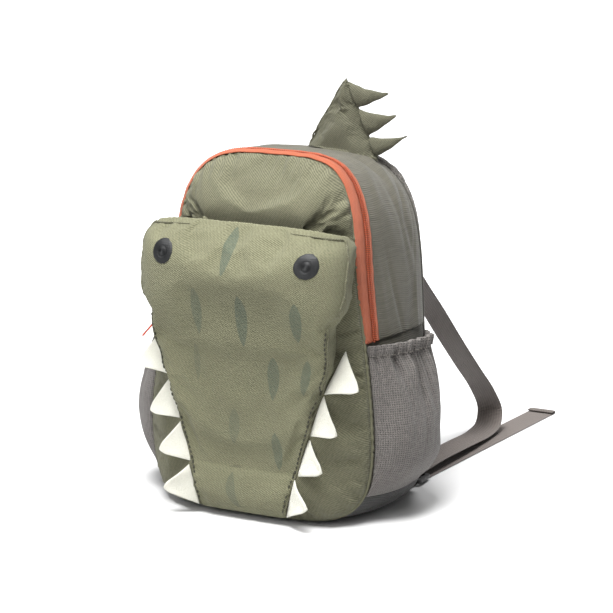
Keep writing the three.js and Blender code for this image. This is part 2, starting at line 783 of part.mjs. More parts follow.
// A flat or padded strip along a route in the strap's own plane, with its width across the bag.
function strip(name, route, widthAt, thicknessAt, corner, material) {
  const sections = route.map((p, i) => {
    const before = route[max(i - 1, 0)];
    const after = route[min(i + 1, route.length - 1)];
    const share = i / (route.length - 1);
    const normal = spot(0, after.z - before.z, before.y - after.y).normalize();
    const [half, thick] = [widthAt(share) / 2, thicknessAt(share) / 2];
    const round = [
      { across: -1, out: corner - 1 }, { across: corner - 1, out: -1 }, { across: 1 - corner, out: -1 },
      { across: 1, out: corner - 1 }, { across: 1, out: 1 - corner }, { across: 1 - corner, out: 1 },
      { across: corner - 1, out: 1 }, { across: -1, out: 1 - corner },
    ];
    const square = [
      { across: -1, out: -1 }, { across: 1, out: -1 }, { across: 1, out: 1 }, { across: -1, out: 1 },
    ];
    return (corner > 0 ? round : square).map(({ across, out }) => (
      p.clone().add(spot(across * half, 0, 0)).addScaledVector(normal, out * thick)
    ));
  });
  return loftSolid(name, sections, material);
}

const smoothPath = (points, count) => (
  new THREE.CatmullRomCurve3(points, false, 'centripetal').getSpacedPoints(count)
);

// Where a strap runs: shares of the half width, of the strap's reach behind the bag, and of the height.
const padRoute = [
  { across: 0.392, back: 0.016, up: 0.9122 },
  { across: 0.402, back: 0.079, up: 0.9139 },
  { across: 0.412, back: 0.143, up: 0.8953 },
  { across: 0.441, back: 0.212, up: 0.8209 },
  { across: 0.480, back: 0.281, up: 0.7061 },
  { across: 0.520, back: 0.355, up: 0.5912 },
];
const webbingRoute = [
  { across: 0.521, back: 0.356, up: 0.5889 },
  { across: 0.539, back: 0.424, up: 0.5405 },
  { across: 0.569, back: 0.571, up: 0.4446 },
  { across: 0.647, back: 0.695, up: 0.3334 },
  { across: 0.706, back: 0.837, up: 0.2250 },
  { across: 0.755, back: 0.946, up: 0.1419 },
  { across: 0.794, back: 1.000, up: 0.0709 },
  { across: 0.819, back: 0.956, up: 0.0304 },
  { across: 0.828, back: 0.847, up: 0.0182 },
  { across: 0.824, back: 0.621, up: 0.0250 },
  { across: 0.794, back: 0.350, up: 0.0304 },
];

const strapPoints = (route, side) => route.map(({ across, back, up }) => (
  spot(side * across * seamHalfWidth, backSeamReach + back * strapReach, up * seamCrown)
));

function shoulderStrap({ word, side }) {
  const widthAt = (share) => (
    mix(padWidth, padEndWidth, smooth((share - padTaperStart) / (1 - padTaperStart)))
      - padRootWaist * (1 - smooth(5 * share))
  );
  const thicknessAt = (share) => padThickness * mix(padEndThickness, 1, smooth(5 * min(share, 1 - share)));
  const route = smoothPath(strapPoints(padRoute, side), 12);
  return strip(`shoulder_strap_${word}`, route, widthAt, thicknessAt, padCorner, materials.back);
}

const middleBarY = bagBarY + adjusterPitch;

function webbing({ word, side }) {
  const radius = adjusterHeight - webbingLift;
  const turnEnd = spot(side * adjusterAcross, middleBarY + turnLead, adjusterHeight + radius);
  const loop = smoothPath([...strapPoints(webbingRoute, side), turnEnd], 34);
  const turn = steps(6).map((share) => spot(
    side * adjusterAcross,
    middleBarY - radius * sin(PI * share),
    adjusterHeight + radius * cos(PI * share),
  ));
  const rolled = (rolledHemThickness - webbingThickness) / 2;
  const floorPoint = (y, lift) => spot(
    side * mix(adjusterAcross, tailStrapAcross, (y - middleBarY) / (tailStrapEnd - middleBarY)), y, lift);
  const hemStart = tailStrapEnd - rolledHemLength;
  const floor = [0, 0.35, 0.7, 1].map((share) => (
    floorPoint(mix(middleBarY + floorLead, hemStart, share), webbingLift)
  ));
  const hem = [hemStart + 0.5, tailStrapEnd].map((y) => floorPoint(y, webbingLift + rolled));
  const route = [...loop, ...turn, ...floor, ...hem];
  const hemShare = (route.length - 2.5) / (route.length - 1);
  const thicknessAt = (share) => (share > hemShare ? rolledHemThickness : webbingThickness);
  return strip(`webbing_${word}`, route, () => webbingWidth, thicknessAt, 0, materials.webbing);
}

function adjusterPieces({ word, side }) {
  const length = 2 * adjusterPitch + adjusterBar;
  const shape = rounded(new THREE.Shape(), 0, 0, adjusterWidth, length, adjusterRadius);
  const slot = adjusterPitch - adjusterBar;
  [-1, 1].forEach((place) => {
    const hole = rounded(new THREE.Path(), 0, place * adjusterPitch / 2,
      webbingWidth + slotClearance, slot, slotRadius);
    shape.holes.push(hole);
  });
  const adjuster = named(`strap_adjuster_${word}`, plate(shape, adjusterThickness), materials.plastic);
  adjuster.position.set(side * adjusterAcross, middleBarY, adjusterHeight);

  const turned = steps(6).map((share) => spot(
    side * adjusterAcross,
    bagBarY + tabTurn * sin(PI * share),
    adjusterHeight + tabTurn * cos(PI * share),
  ));
  const start = (z) => spot(side * adjusterAcross, tabStartY, z);
  const route = [start(adjusterHeight + tabTurn), ...turned, start(adjusterHeight - tabTurn)];
  const tab = strip(`adjuster_tab_${word}`, route,
    () => webbingWidth, () => webbingThickness, 0, materials.webbing);
  return [adjuster, tab];
}

const backpack = new THREE.Group();
backpack.add(frontPanel(), ...gussetPieces(), backPanel(), basePanel(), headPocket());
backpack.add(...tailPieces(), ...zipperPieces());
sides.forEach((place) => {
  backpack.add(sidePanel(place), sidePocket(place), pocketHem(place));
  backpack.add(eye(`eye_${place.word}`, place.side));
  backpack.add(...toothRows.map((_, number) => tooth(place.word, number, place.side)));
  backpack.add(shoulderStrap(place), webbing(place), ...adjusterPieces(place));
});

export default backpack;
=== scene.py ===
# A child's crocodile backpack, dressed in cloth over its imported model.
# Shapes are worked out in millimetres, as in the part's source, and turned into metres once made.
import math

import bpy
import numpy as np
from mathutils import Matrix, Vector


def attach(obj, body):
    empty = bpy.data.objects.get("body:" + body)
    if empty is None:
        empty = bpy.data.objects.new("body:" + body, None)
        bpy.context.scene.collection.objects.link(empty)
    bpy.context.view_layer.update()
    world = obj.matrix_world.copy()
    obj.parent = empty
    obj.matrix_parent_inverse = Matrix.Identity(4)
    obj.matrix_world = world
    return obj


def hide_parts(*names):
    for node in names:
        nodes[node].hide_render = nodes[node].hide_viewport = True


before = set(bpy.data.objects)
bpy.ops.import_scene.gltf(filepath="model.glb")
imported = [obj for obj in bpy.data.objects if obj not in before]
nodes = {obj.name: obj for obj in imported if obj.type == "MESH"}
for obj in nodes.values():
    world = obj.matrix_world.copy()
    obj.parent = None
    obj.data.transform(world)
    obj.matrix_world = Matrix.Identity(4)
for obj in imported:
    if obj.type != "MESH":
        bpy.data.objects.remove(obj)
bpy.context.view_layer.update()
metre = 0.001
bothSides = (("Right", 1), ("Left", -1))


# Small sums on arrays
def mix(a, b, share):
    return a + (b - a) * share


def smooth(value):
    held = np.clip(value, 0, 1)
    return held * held * (3 - 2 * held)


def powered(value, power):
    return np.sign(value) * np.abs(value) ** power


def point(x, y, z):
    return np.stack(np.broadcast_arrays(x, y, z), axis=-1).astype(float)


def unit(vectors):
    return vectors / np.maximum(np.linalg.norm(vectors, axis=-1, keepdims=True), 1e-9)


def readCurve(rows, place):  # a smooth curve through (place, value) rows, as in the part's source
    keys, values = np.array(rows, float).T
    slopes = np.gradient(values)
    slopes[1:-1] = (values[2:] - values[:-2]) / (keys[2:] - keys[:-2])
    slopes[0] = (values[1] - values[0]) / (keys[1] - keys[0])
    slopes[-1] = (values[-1] - values[-2]) / (keys[-1] - keys[-2])
    i = np.clip(np.searchsorted(keys[1:], place), 0, len(keys) - 2)
    span = keys[i + 1] - keys[i]
    t = np.clip((place - keys[i]) / span, 0, 1)
    bend = span * t * (1 - t) * ((1 - t) * slopes[i] - t * slopes[i + 1])
    return mix(values[i], values[i + 1], t * t * (3 - 2 * t)) + bend


def ripple(seed, wavelength, *places):  # soft seeded unevenness of about plus or minus one
    draw = np.random.default_rng(seed)
    total = 0
    for _ in range(9):
        turn = draw.normal(size=len(places))
        turn *= 2 * math.pi / (wavelength * draw.uniform(0.7, 1.6)) / np.linalg.norm(turn)
        total = total + np.sin(sum(k * p for k, p in zip(turn, places)) + draw.uniform(0, 6.28))
    return total / 3


def evenly(points, count):  # the same line with its points at even distances
    lengths = np.r_[0, np.cumsum(np.linalg.norm(np.diff(points, axis=0), axis=1))]
    marks = np.linspace(0, lengths[-1], count)
    return np.stack([np.interp(marks, lengths, points[:, k]) for k in range(3)], axis=1)


def smoothPath(points, count):  # centripetal curve through a few points
    p = np.array(points, float)
    p = np.vstack([2 * p[0] - p[1], p, 2 * p[-1] - p[-2]])
    pieces = []
    for a, b, c, d in zip(p, p[1:], p[2:], p[3:]):
        ta = 0
        tb = ta + np.linalg.norm(b - a) ** 0.5
        tc = tb + np.linalg.norm(c - b) ** 0.5
        td = tc + np.linalg.norm(d - c) ** 0.5
        t = np.linspace(tb, tc, 24, endpoint=False)[:, None]
        ab = (tb - t) / (tb - ta) * a + (t - ta) / (tb - ta) * b
        bc = (tc - t) / (tc - tb) * b + (t - tb) / (tc - tb) * c
        cd = (td - t) / (td - tc) * c + (t - tc) / (td - tc) * d
        abc = (tc - t) / (tc - ta) * ab + (t - ta) / (tc - ta) * bc
        bcd = (td - t) / (td - tb) * bc + (t - tb) / (td - tb) * cd
        pieces.append((tc - t) / (tc - tb) * abc + (t - tb) / (tc - tb) * bcd)
    return evenly(np.vstack([*pieces, p[-2][None]]), count)


# Meshes from grids of points, in rows and columns
def addObject(name, data):
    made = bpy.data.objects.new(name, data)
    bpy.context.scene.collection.objects.link(made)
    return made


def cells(rows, columns):
    r, c = np.meshgrid(np.arange(rows), np.arange(columns), indexing="ij")
    return r.ravel(), c.ravel()


def quadFaces(r, c, nextRow, columns):
    d = (c + 1) % columns
    return np.stack([r * columns + c, r * columns + d, nextRow * columns + d, nextRow * columns + c], 1)


def gridNormals(grid, wrap=False):
    if wrap:
        along = np.roll(grid, -1, axis=1) - np.roll(grid, 1, axis=1)
    else:
        along = np.gradient(grid, axis=1)
    return unit(np.cross(along, np.gradient(grid, axis=0)))


def facing(grid, away, wrap=False):  # normals of a grid, turned to one side of it
    normals = gridNormals(grid, wrap)
    return normals * np.sign(np.sum(normals * away, axis=-1, keepdims=True).mean())


def meshObject(name, points, faces, loopUv, material):
    mesh = bpy.data.meshes.new(name)
    mesh.from_pydata((points * metre).tolist(), [], faces)
    if loopUv is not None:
        layer = mesh.uv_layers.new(name="cloth")
        layer.data.foreach_set("uv", (np.concatenate(loopUv) * metre).ravel())
    mesh.polygons.foreach_set("use_smooth", [True] * len(mesh.polygons))
    mesh.materials.append(material)
    return addObject(name, mesh)


def distances(grid, axis):
    steps = np.linalg.norm(np.diff(grid, axis=axis), axis=-1)
    start = np.zeros_like(np.take(steps, [0], axis=axis))
    return np.concatenate([start, np.cumsum(steps, axis=axis)], axis=axis)


def clothUv(grid):  # lengths along the cloth, so that a weave keeps its size
    across, up = distances(grid, 1), distances(grid, 0)
    middle = across[:, across.shape[1] // 2][:, None]
    return np.stack([across - middle, np.broadcast_to(up.mean(axis=1)[:, None], up.shape)], axis=-1)


def flatUv(grid):  # the cloth seen straight on
    return grid[..., [0, 2]]


def tube(name, loops, material, uv=None, capStart=0):
    # closed sections one after the other, skinned all round, with a ladder of faces over each end
    count, around = loops.shape[:2]
    if uv is None:
        closed = np.concatenate([loops, loops[:, :1]], axis=1)
        lengths = distances(loops, 0).mean(axis=1)[:, None]
        uv = np.stack([distances(closed, 1), np.broadcast_to(lengths, (count, around + 1))], axis=-1)
    r, c = cells(count - 1, around)
    faces = quadFaces(r, c, r + 1, around)
    corners = np.stack([uv[r, c], uv[r, c + 1], uv[r + 1, c + 1], uv[r + 1, c]], 1)
    points = loops.reshape(-1, 3)
    centred = points - points.mean(axis=0)
    p, q, s, t = (centred[faces[:, k]] for k in range(4))
    inwards = np.sum(p * np.cross(q, s)) + np.sum(p * np.cross(s, t)) < 0
    faces, corners = faces.tolist(), list(corners)
    for row, step in ((0, -1), (count - 1, 1)):
        for i in range(around // 2):
            near = [(capStart + i) % around, (capStart + i + 1) % around]
            far = [(capStart - i - 1) % around, (capStart - i) % around]
            ring = list(dict.fromkeys(near + far))[::step]
            faces.append([row * around + k for k in ring])
            corners.append(uv[row, ring])
    if inwards:
        faces = [face[::-1] for face in faces]
        corners = [corner[::-1] for corner in corners]
    return meshObject(name, points, faces, corners, material)


def rimArc(edge, back, beyond, count=3):  # a rounded turn from the outer face to the inner one
    middle, half = (edge + back) / 2, (edge - back) / 2
    out = unit(beyond) * np.linalg.norm(half, axis=-1, keepdims=True)
    turns = np.linspace(0, math.pi, count + 2)[1:-1]
    return [middle + math.cos(t) * half + math.sin(t) * out for t in turns]


def clothWall(name, outer, wall, away, material, uv=None):
    # a closed sheet of cloth with a thickness, its long edges rounded
    inner = outer - facing(outer, away) * wall
    uv = clothUv(outer) if uv is None else uv
    top = rimArc(outer[-1], inner[-1], outer[-1] - outer[-2])
    foot = rimArc(inner[0], outer[0], outer[0] - outer[1])
    loops = np.concatenate([outer, np.stack(top), inner[::-1], np.stack(foot)])
    loopsUv = np.concatenate([uv, np.stack([uv[-1]] * len(top)), uv[::-1], np.stack([uv[0]] * len(foot))])
    loops, loopsUv = loops.swapaxes(0, 1), loopsUv.swapaxes(0, 1)
    loopsUv = np.concatenate([loopsUv, loopsUv[:, :1]], axis=1)
    return tube(name, loops, material, loopsUv, capStart=loops.shape[1] - 2)


# The form of the bag
form = {
    "halfWidth": 102, "foot": 3.5, "crown": 296, "crownFall": 8,
    "frontCrownPower": 4, "backCrownPower": 3.5, "frontFootPower": 6.5, "backFootPower": 11,
    "frontNarrowing": 0.185, "backNarrowing": 0.05, "narrowingStart": 0.2, "narrowingSpan": 0.56,
    "frontReach": 41, "backReach": 64, "footBow": 22, "footBowRise": 60,
    "swellPower": 2.5, "swellSkew": 1.25, "puff": 24, "puffPower": 8,
    "seamReach": [(0, 1), (0.09, 1), (0.3, 1), (0.54, 0.86), (0.8, 0.74), (0.92, 0.6), (1, 0.4)],
    "seamSwell": [(0, 6), (0.09, 11), (0.3, 11.5), (0.54, 9), (0.8, 6.5), (0.92, 3.5), (1, 1)],
    "baseRise": 24, "zipEnd": 150, "sewnGap": 0.3,
}
formMiddle = (form["foot"] + form["crown"]) / 2
formRise = (form["crown"] - form["foot"]) / 2


def outlinePower(rise, share=0):
    crown = mix(form["frontCrownPower"], form["backCrownPower"], share)
    foot = mix(form["frontFootPower"], form["backFootPower"], share)
    return np.where(rise >= 0, crown, foot)


def narrowing(z, share=0):
    most = mix(form["frontNarrowing"], form["backNarrowing"], share)
    return 1 - most * smooth((z / form["crown"] - form["narrowingStart"]) / form["narrowingSpan"])


def outline(angle, share=0):
    rise = powered(np.sin(angle), 2 / outlinePower(np.sin(angle)))
    z = formMiddle + formRise * rise
    power = outlinePower(rise, share)
    across = np.sign(np.cos(angle)) * (1 - np.minimum(1, np.abs(rise) ** power)) ** (1 / power)
    fall = form["crownFall"] * share * smooth(2 * z / form["crown"] - 1)
    return form["halfWidth"] * narrowing(z, share) * across, z - fall


def outlineNormal(angle, share=0):
    before, after = outline(angle - 0.02, share), outline(angle + 0.02, share)
    length = np.hypot(after[0] - before[0], after[1] - before[1])
    return (after[1] - before[1]) / length, (before[0] - after[0]) / length


def seamShare(x, z):  # 0 in the middle of the front, 1 on its seam
    power = outlinePower(z - formMiddle)
    across = np.abs(x) / (form["halfWidth"] * narrowing(z))
    return (across ** power + (np.abs(z - formMiddle) / formRise) ** power) ** (1 / power)


def frontSeamY(x, z):
    bow = form["footBow"] * (1 - smooth(z / form["footBowRise"]))
    bow = bow * (1 - np.clip(np.abs(x) / form["halfWidth"], 0, 1) ** 3)
    return -form["frontReach"] * readCurve(form["seamReach"], z / form["crown"]) - bow


def panelY(x, z):
    return frontSeamY(x, z) - form["puff"] * (1 - np.minimum(seamShare(x, z), 1) ** form["puffPower"])


def bandPoint(angle, share, lift=0):  # the band from the front seam, share 0, to the back seam, share 1
    frontX, frontZ = outline(angle)
    x, z = outline(angle, share)
    normalX, normalZ = outlineNormal(angle, share)
    profile = 1 - np.abs(1 - 2 * np.clip(share, 0, 1) ** form["swellSkew"]) ** form["swellPower"]
    out = readCurve(form["seamSwell"], z / form["crown"]) * profile + lift
    y = mix(frontSeamY(frontX, frontZ), form["backReach"], share)
    floor = np.maximum(-np.asarray(lift, float), 0)
    return point(x + normalX * out, y, np.maximum(z + normalZ * out, floor))


def bandDepth(angle):
    return form["backReach"] - frontSeamY(*outline(angle))


def quarterAngles():  # from the foot's middle up the right side to the crown's middle, at even distances
    rises = np.linspace(-1, 1, 3000)
    byHeight = np.arcsin(np.abs(rises) ** (outlinePower(rises) / 2)) * np.sign(rises)
    angles = np.unique(np.r_[byHeight, np.linspace(-math.pi / 2, math.pi / 2, 3000)])
    x, z = outline(angles)
    return angles, np.r_[0, np.cumsum(np.hypot(np.diff(x), np.diff(z)))]


def angleAt(z):
    rise = z - formMiddle
    return np.arcsin(np.clip(np.abs(rise) / formRise, 0, 1) ** (outlinePower(rise) / 2)) * np.sign(rise)


def anglesAlong(start, end, count):  # even steps along the seam, counterclockwise from the front
    angles, lengths = quarterAngles()
    whole = np.r_[angles, math.pi - angles[-2::-1], 2 * math.pi + angles[1:]]
    runs = np.r_[lengths, 2 * lengths[-1] - lengths[-2::-1], 2 * lengths[-1] + lengths[1:]]
    marks = np.linspace(np.interp(start, whole, runs), np.interp(end, whole, runs), count)
    return np.interp(marks, runs, whole)


# Shader helpers
def addNode(tree, kind, inputs=None, **settings):
    node = tree.nodes.new(kind)
    for key, value in settings.items():
        setattr(node, key, value)
    for key, value in (inputs or {}).items():
        socket = node.inputs[key]
        if isinstance(value, bpy.types.Node):
            tree.links.new(value.outputs[0], socket)
        elif isinstance(value, bpy.types.NodeSocket):
            tree.links.new(value, socket)
        else:
            socket.default_value = value
    return node


def sums(tree, operation, a, b=None, c=None):
    inputs = {i: value for i, value in enumerate((a, b, c)) if value is not None}
    return addNode(tree, "ShaderNodeMath", inputs, operation=operation)


def colour(code):  # a screen colour as the shader wants it
    parts = [((code >> shift) & 255) / 255 for shift in (16, 8, 0)]
    return [c / 12.92 if c <= 0.04045 else ((c + 0.055) / 1.055) ** 2.4 for c in parts] + [1]


def newMaterial(name, roughness, **sockets):
    material = bpy.data.materials.new(name)
    material.use_nodes = True
    tree = material.node_tree
    shader = tree.nodes["Principled BSDF"]
    shader.inputs["Roughness"].default_value = roughness
    for key, value in sockets.items():
        shader.inputs[key].default_value = value
    return material, tree, shader


def waves(tree, uv, direction, pitch):  # even ribs across the cloth, from -1 to 1
    turn = 2 * math.pi / (pitch * metre)
    along = addNode(tree, "ShaderNodeVectorMath", {0: uv, 1: (direction[0] * turn, direction[1] * turn, 0)},
                    operation="DOT_PRODUCT")
    return sums(tree, "SINE", along.outputs["Value"])


def blotches(tree, place, size, detail=3, roughness=0.55):
    return addNode(tree, "ShaderNodeTexNoise", {
        "Vector": place, "Scale": 1 / (size * metre), "Detail": detail, "Roughness": roughness})


def mixColours(tree, share, a, b):
    node = addNode(tree, "ShaderNodeMix", {"Factor": share}, data_type="RGBA")
    for socket, value in ((node.inputs[6], a), (node.inputs[7], b)):
        if isinstance(value, (bpy.types.Node, bpy.types.NodeSocket)):
            tree.links.new(value.outputs[2] if isinstance(value, bpy.types.Node) else value, socket)
        else:
            socket.default_value = value
    return node


def rangeOf(tree, value, low, high, newLow=0.0, newHigh=1.0):
    return addNode(tree, "ShaderNodeMapRange", {
        "Value": value, "From Min": low, "From Max": high, "To Min": newLow, "To Max": newHigh})


def scaledColour(tree, shade, amount):
    return addNode(tree, "ShaderNodeVectorMath", {0: shade, "Scale": amount}, operation="SCALE")


def finishCloth(tree, shader, height, tone, dark, light, depth, unevenness, place):
    # thread colours by height, soft unevenness in the dye, and relief from the same height
    threads = mixColours(tree, rangeOf(tree, tone, -1.2, 1.2), dark, light)
    patches = rangeOf(tree, blotches(tree, place, 38), 0.3, 0.7, 1 - unevenness, 1 + unevenness)
    shade = scaledColour(tree, threads.outputs[2], patches)
    tree.links.new(shade.outputs[0], shader.inputs["Base Color"])
    bump = addNode(tree, "ShaderNodeBump", {"Height": height, "Distance": depth * metre, "Strength": 0.8})
    tree.links.new(bump.outputs[0], shader.inputs["Normal"])
    return shade


def coordinates(tree):
    uv = addNode(tree, "ShaderNodeUVMap", uv_map="cloth")
    place = addNode(tree, "ShaderNodeTexCoord").outputs["Object"]
    return uv, place


# Cloth finishes
def twillMaterial(name, dark, light, marks=()):
    material, tree, shader = newMaterial(name, 0.92, **{"Sheen Weight": 0.05, "Sheen Roughness": 0.6})
    uv, place = coordinates(tree)
    look = {"pitch": 1.3, "floatPitch": 2.9, "relief": 0.22}
    rib = waves(tree, uv, (0.58, 0.815), look["pitch"])
    floats = waves(tree, uv, (0.9, -0.43), look["floatPitch"])
    fuzz = rangeOf(tree, blotches(tree, uv, 1.6, 2), 0.25, 0.75, -0.7, 0.7)
    height = sums(tree, "MULTIPLY_ADD", floats, 0.2, sums(tree, "ADD", rib, fuzz))
    shade = finishCloth(tree, shader, height, height, dark, light, look["relief"], 0.07, place)
    if not marks:
        return material
    spots = None
    for mark in marks:
        spot = leafMark(tree, place, **mark)
        spots = spot if spots is None else sums(tree, "MAXIMUM", spots, spot)
    wornEdge = rangeOf(tree, blotches(tree, uv, 2.2, 3), 0.3, 0.75, 0.62, 1.0)
    share = sums(tree, "MULTIPLY", spots, wornEdge)
    ink = mixColours(tree, share, shade.outputs[0], colour(0x36463d))
    tree.links.new(ink.outputs[2], shader.inputs["Base Color"])
    return material


def leafMark(tree, place, x, z, length, width, tilt=0, bend=0, strength=0.6):
    # a pointed oval on the face, fuller towards its head
    moved = addNode(tree, "ShaderNodeVectorMath", {0: place, 1: (x * metre, 0, z * metre)},
                    operation="SUBTRACT")
    turned = addNode(tree, "ShaderNodeVectorRotate", {"Vector": moved, "Angle": -math.radians(tilt)},
                     rotation_type="Y_AXIS")
    parts = addNode(tree, "ShaderNodeSeparateXYZ", {0: turned})
    up = sums(tree, "MULTIPLY", parts.outputs["Z"], 2 / (length * metre))
    bow = sums(tree, "MULTIPLY", sums(tree, "MULTIPLY", up, up), bend * metre)
    across = sums(tree, "MULTIPLY", sums(tree, "SUBTRACT", parts.outputs["X"], bow), 2 / (width * metre))
    fuller = sums(tree, "MULTIPLY_ADD", up, 0.18, 0.95)
    oval = sums(tree, "SUBTRACT", 1.0, sums(tree, "POWER", sums(tree, "ABSOLUTE", up), 2.2))
    reach = sums(tree, "MULTIPLY", sums(tree, "POWER", sums(tree, "MAXIMUM", oval, 0.0), 0.75), fuller)
    inside = sums(tree, "SUBTRACT", reach, sums(tree, "ABSOLUTE", across))
    return rangeOf(tree, inside, -0.03, 0.12, 0, strength)


def nylonMaterial(name, dark, light):
    material, tree, shader = newMaterial(name, 0.72, **{"Sheen Weight": 0.15, "Sheen Roughness": 0.5})
    uv, place = coordinates(tree)
    warp = waves(tree, uv, (1, 0), 1.1)
    weft = waves(tree, uv, (0, 1), 1.7)
    stretched = addNode(tree, "ShaderNodeMapping", {"Vector": uv, "Scale": (0.08, 1, 1)})
    streaks = rangeOf(tree, blotches(tree, stretched, 2.2, 4, 0.7), 0.25, 0.75, -1.0, 1.0)
    weave = sums(tree, "MULTIPLY_ADD", warp, 0.4, weft)
    height = sums(tree, "MULTIPLY_ADD", streaks, 0.5, weave)
    tone = sums(tree, "MULTIPLY_ADD", weave, 0.4, streaks)
    finishCloth(tree, shader, height, tone, dark, light, 0.12, 0.08, place)
    return material


def meshClothMaterial(name, thread, hole):
    material, tree, shader = newMaterial(name, 0.7, **{"Sheen Weight": 0.1})
    uv, place = coordinates(tree)
    columns = waves(tree, uv, (1, 0), 2.0)
    rows = waves(tree, uv, (0, 1), 1.8)
    net = sums(tree, "MAXIMUM", columns, rows)
    fuzz = rangeOf(tree, blotches(tree, uv, 3.0, 3), 0.3, 0.7, -0.4, 0.4)
    height = sums(tree, "ADD", net, fuzz)
    finishCloth(tree, shader, height, height, hole, thread, 0.4, 0.06, place)
    return material


ribbedLooks = {
    "webbing": {"roughness": 0.66, "sheen": 0.15, "ribs": 1.5, "rows": 2.5, "rowShare": 0.5, "relief": 0.3},
    "tape": {"roughness": 0.62, "sheen": 0.1, "ribs": 0.9, "rows": 1.2, "rowShare": 0.6, "relief": 0.18},
}


def ribbedMaterial(name, kind, dark, light):
    look = ribbedLooks[kind]
    material, tree, shader = newMaterial(name, look["roughness"], **{"Sheen Weight": look["sheen"]})
    uv, place = coordinates(tree)
    ribs = waves(tree, uv, (0, 1), look["ribs"])
    rows = waves(tree, uv, (1, 0), look["rows"])
    height = sums(tree, "MULTIPLY_ADD", rows, look["rowShare"], ribs)
    finishCloth(tree, shader, height, height, dark, light, look["relief"], 0.05, place)
    return material


def feltMaterial(name, dark, light):
    material, tree, shader = newMaterial(name, 0.95, **{"Sheen Weight": 0.25, "Sheen Roughness": 0.4})
    place = addNode(tree, "ShaderNodeTexCoord").outputs["Object"]
    fibres = rangeOf(tree, blotches(tree, place, 0.9, 6, 0.75), 0.3, 0.7, -1, 1)
    finishCloth(tree, shader, fibres, fibres, dark, light, 0.35, 0.03, place)
    return material


def threadMaterial(name, shade, roughness=0.6):
    material, tree, shader = newMaterial(name, roughness)
    place = addNode(tree, "ShaderNodeTexCoord").outputs["Object"]
    strands = rangeOf(tree, blotches(tree, place, 0.5, 3), 0.3, 0.7, 0.8, 1.15)
    tree.links.new(scaledColour(tree, shade[:3], strands).outputs[0], shader.inputs["Base Color"])
    return material


def hardMaterial(name, shade, roughness, metallic, grain, depth):
    material, tree, shader = newMaterial(name, roughness, Metallic=metallic)
    place = addNode(tree, "ShaderNodeTexCoord").outputs["Object"]
    speckle = blotches(tree, place, grain, 4)
    tint = rangeOf(tree, speckle, 0.3, 0.7, 0.88, 1.1)
    tree.links.new(scaledColour(tree, shade[:3], tint).outputs[0], shader.inputs["Base Color"])
    bump = addNode(tree, "ShaderNodeBump", {"Height": speckle, "Distance": depth * metre, "Strength": 0.5})
    tree.links.new(bump.outputs[0], shader.inputs["Normal"])
    return material


finish = {
    # the panel's twill is the same cloth as the head's, painted darker: painted shade on the front panel
    "twill": twillMaterial("twill", colour(0x474634), colour(0x696852)),
    "gusset_nylon": nylonMaterial("gussetNylon", colour(0x38362c), colour(0x565346)),
    "base_nylon": nylonMaterial("baseNylon", colour(0x171615), colour(0x272623)),
    "pocket_mesh": meshClothMaterial("pocketMesh", colour(0x6a6561), colour(0x1c1b1a)),
    "back_mesh": meshClothMaterial("backMesh", colour(0x6f6b66), colour(0x4a4743)),
    "zipper_tape": ribbedMaterial("zipperTape", "tape", colour(0x863c20), colour(0xa85733)),
    "zipper_coil": hardMaterial("zipperCoil", colour(0xa84e30), 0.36, 0.0, 3, 0.03),
    "zipper_metal": hardMaterial("zipperMetal", colour(0xb0402c), 0.34, 0.25, 5, 0.02),
    "felt": feltMaterial("felt", colour(0xc4c3b5), colour(0xdfded4)),
    "eye_thread": threadMaterial("eyeThread", colour(0x090b0d), 0.62),
    "tail_twill": twillMaterial("tailTwill", colour(0x3b3a2c), colour(0x595846)),
    "webbing": ribbedMaterial("webbing", "webbing", colour(0x4e4743), colour(0x726963)),
    "buckle_plastic": hardMaterial("bucklePlastic", colour(0x2e2e2e), 0.42, 0.0, 6, 0.02),
}
greenThread = threadMaterial("greenThread", colour(0x2b2a1e))
greyThread = threadMaterial("greyThread", colour(0x6d6862))
bindingCloth = nylonMaterial("bindingNylon", colour(0x34322d), colour(0x4c4a42))
scaleMarks = [
    {"x": -4.2, "z": 226.4, "length": 36, "width": 11, "tilt": 2, "strength": 0.72},
    {"x": -32, "z": 176.2, "length": 41, "width": 9.5, "tilt": 0, "strength": 0.52},
    {"x": 7.9, "z": 171.3, "length": 44, "width": 11.5, "tilt": 0, "strength": 0.66},
    {"x": 57.3, "z": 174.8, "length": 34, "width": 11, "tilt": 2, "strength": 0.66},
    {"x": 30.9, "z": 124.1, "length": 37, "width": 11.5, "tilt": 3, "strength": 0.6},
    {"x": 60.3, "z": 128.1, "length": 31, "width": 9, "tilt": 10, "strength": 0.6},
    {"x": -38.1, "z": 131.1, "length": 33, "width": 6.5, "tilt": 0, "strength": 0.28},
    {"x": -6.3, "z": 79, "length": 31, "width": 10.5, "tilt": 2, "strength": 0.34},
    {"x": 32.8, "z": 62.6, "length": 33, "width": 10, "tilt": -4, "strength": 0.56},
    {"x": -8, "z": 24, "length": 31, "width": 9, "tilt": -16, "bend": 4, "strength": 0.44},
]
# the head's twill is the same cloth as the panel's, painted lighter: painted light on the brow and face; the
# leaf marks on it are its print
headTwillPaintedLight = twillMaterial("headTwillPaintedLight", colour(0x50503b), colour(0x78775d), scaleMarks)
print("materials made")


# Cloth simulation of a sewn panel: its seams are held, the cloth between them is cut a little larger
clothRules = {"quality": 6, "mass": 0.25, "shear": 5, "bending": 0.6, "frames": 18}


